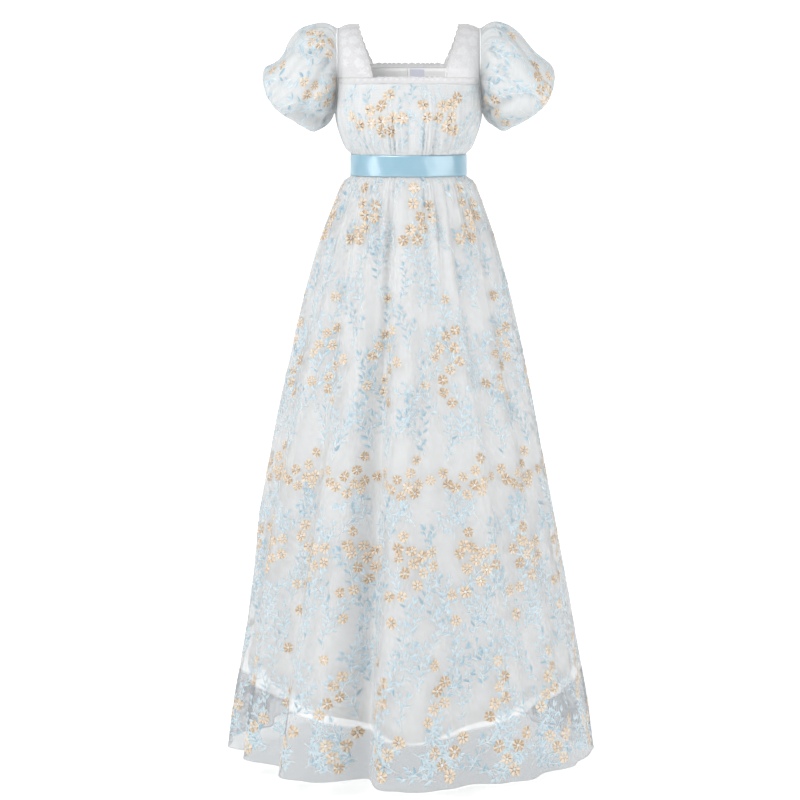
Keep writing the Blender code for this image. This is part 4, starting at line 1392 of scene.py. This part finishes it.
def make_label():
    """A blank label inside the back neck, beside the centre back seam."""
    inward = smooth(LAYERS, "room", np.array([LABEL_TOP]))[0] + 0.0010 + 2 * SEAM
    back = smooth(FIGURE, "back", np.array([LABEL_TOP]))[0] - inward
    width = math.degrees(LABEL_WIDTH / back) / 360 * GATHERS
    u = GATHERS - np.linspace(LABEL_FROM_SEAM, width + LABEL_FROM_SEAM, 24)
    drops = np.linspace(LABEL_TOP, LABEL_FOOT, 20)[:, None] + 0 * u
    cloth = Cloth(around(np.broadcast_to(u, drops.shape), drops, inward + SEAM + LABEL_OFF))
    work = Embroidery(cloth, "neck_label_stitches", "label")
    along, down = np.linspace(0.6, 22.4, 20), np.linspace(0.6, 18.4, 20)
    for rows, columns in ((1.0, along), (down, 1.0), (down, 22.0)):
        work.seam(rows, columns, 0.0026, 0.0005)
    sewn = work.build(THREAD_FINISHES).values()
    piece = shell("neck_label_tape", cloth.points, LABEL, LABEL_TAPE)
    declare("neck_label", cloth.size())


# Studio
CAMERA_PLACE = (-0.0167, -4.5, -0.1083)
CAMERA_PITCH = 7.8
LENS = 103.8
FLOOR = -1.46
STAGE_FRONT = -8.0
STAGE_BACK = 4.0  # where the floor starts to curve up
STAGE_CURVE = 2.0
STAGE_TOP = 6.0
STAGE_HALF = 8.0
STAGE_GLOW = 0.53
WORLD_GLOW = 0.22
LIGHTS_AIM = (0, 0, -0.6)
WHITE = (1.0, 1.0, 1.0, 1.0)

# Soft boxes: azimuth from the camera towards +X, height, distance, size and power
LIGHTS = named(
    "name azimuth height distance size power",
    ("strip", -65, -0.1, 3.0, (0.75, 2.6), 29), ("side", 61, 0.1, 3.2, (3.4, 2.6), 73),
    ("top", -34, 2.4, 2.9, (1.5, 1.5), 124),
)


def make_camera():
    """The camera at the photograph's place."""
    data = bpy.data.cameras.new("camera")
    data.lens = LENS
    data.sensor_width = 36.0
    camera = bpy.data.objects.new("camera", data)
    camera.location = CAMERA_PLACE
    camera.rotation_euler = (math.radians(90 - CAMERA_PITCH), 0, 0)
    bpy.context.scene.collection.objects.link(camera)
    bpy.context.scene.camera = camera


def make_light(box):
    """A soft box that faces the gown."""
    data = bpy.data.lights.new(box.name, "AREA")
    data.shape = "RECTANGLE"
    data.size, data.size_y = box.size
    data.energy = box.power
    light = bpy.data.objects.new(box.name, data)
    turn = math.radians(box.azimuth)
    place = np.array([math.sin(turn) * box.distance, -math.cos(turn) * box.distance, box.height])
    toward = np.array(LIGHTS_AIM) - place
    light.location = place
    pitch = math.atan2(np.hypot(toward[0], toward[1]), -toward[2])
    light.rotation_euler = (pitch, 0, math.atan2(-toward[0], toward[1]))
    bpy.context.scene.collection.objects.link(light)


def make_stage():
    """A pale floor that curves up into a backdrop."""
    made = Finish("backdrop", 0.9, specular=0.1)
    made.colour(made.noise(made.place, 3.0), (0.90, 0.90, 0.90), (0.92, 0.92, 0.92))
    made.give(made.sockets["Emission Color"], WHITE)
    made.give(made.sockets["Emission Strength"], STAGE_GLOW)
    turn = np.linspace(0, math.pi / 2, 13)[1:]
    y = [STAGE_FRONT, STAGE_BACK, *(STAGE_BACK + STAGE_CURVE * np.sin(turn))]
    z = [FLOOR, FLOOR, *(FLOOR + STAGE_CURVE * (1 - np.cos(turn)))]
    profile = [*zip(y, z), (y[-1], STAGE_TOP)]
    vertices = np.array([(x, *point) for x in (-STAGE_HALF, STAGE_HALF) for point in profile])
    count = len(profile)
    faces = [(i, i + count, i + count + 1, i + 1) for i in range(count - 1)]
    new_object("backdrop", vertices, faces, [made.material], body=None)


def make_world():
    """A white world and plain tones."""
    world = bpy.data.worlds.new("world")
    world.use_nodes = True
    background = world.node_tree.nodes["Background"]
    background.inputs["Color"].default_value = WHITE
    background.inputs["Strength"].default_value = WORLD_GLOW
    bpy.context.scene.world = world
    bpy.context.scene.view_settings.view_transform = "Standard"


make_camera()
make_stage()
for box in LIGHTS:
    make_light(box)
make_world()
make_skirt()
make_skirt_lining()
make_bodice()
for side in ("left", "right"):
    make_sleeve(side)
    make_strap(side)
make_edging("front", CENTRE_FRONT, FRONT_CORNER, STRAP_FRONT, FRONT_NECK, FRONT_EDGING)
make_edging("back", 0.0, BACK_CORNER, STRAP_BACK, BACK_NECK, BACK_EDGING)
make_ribbon()
make_label()
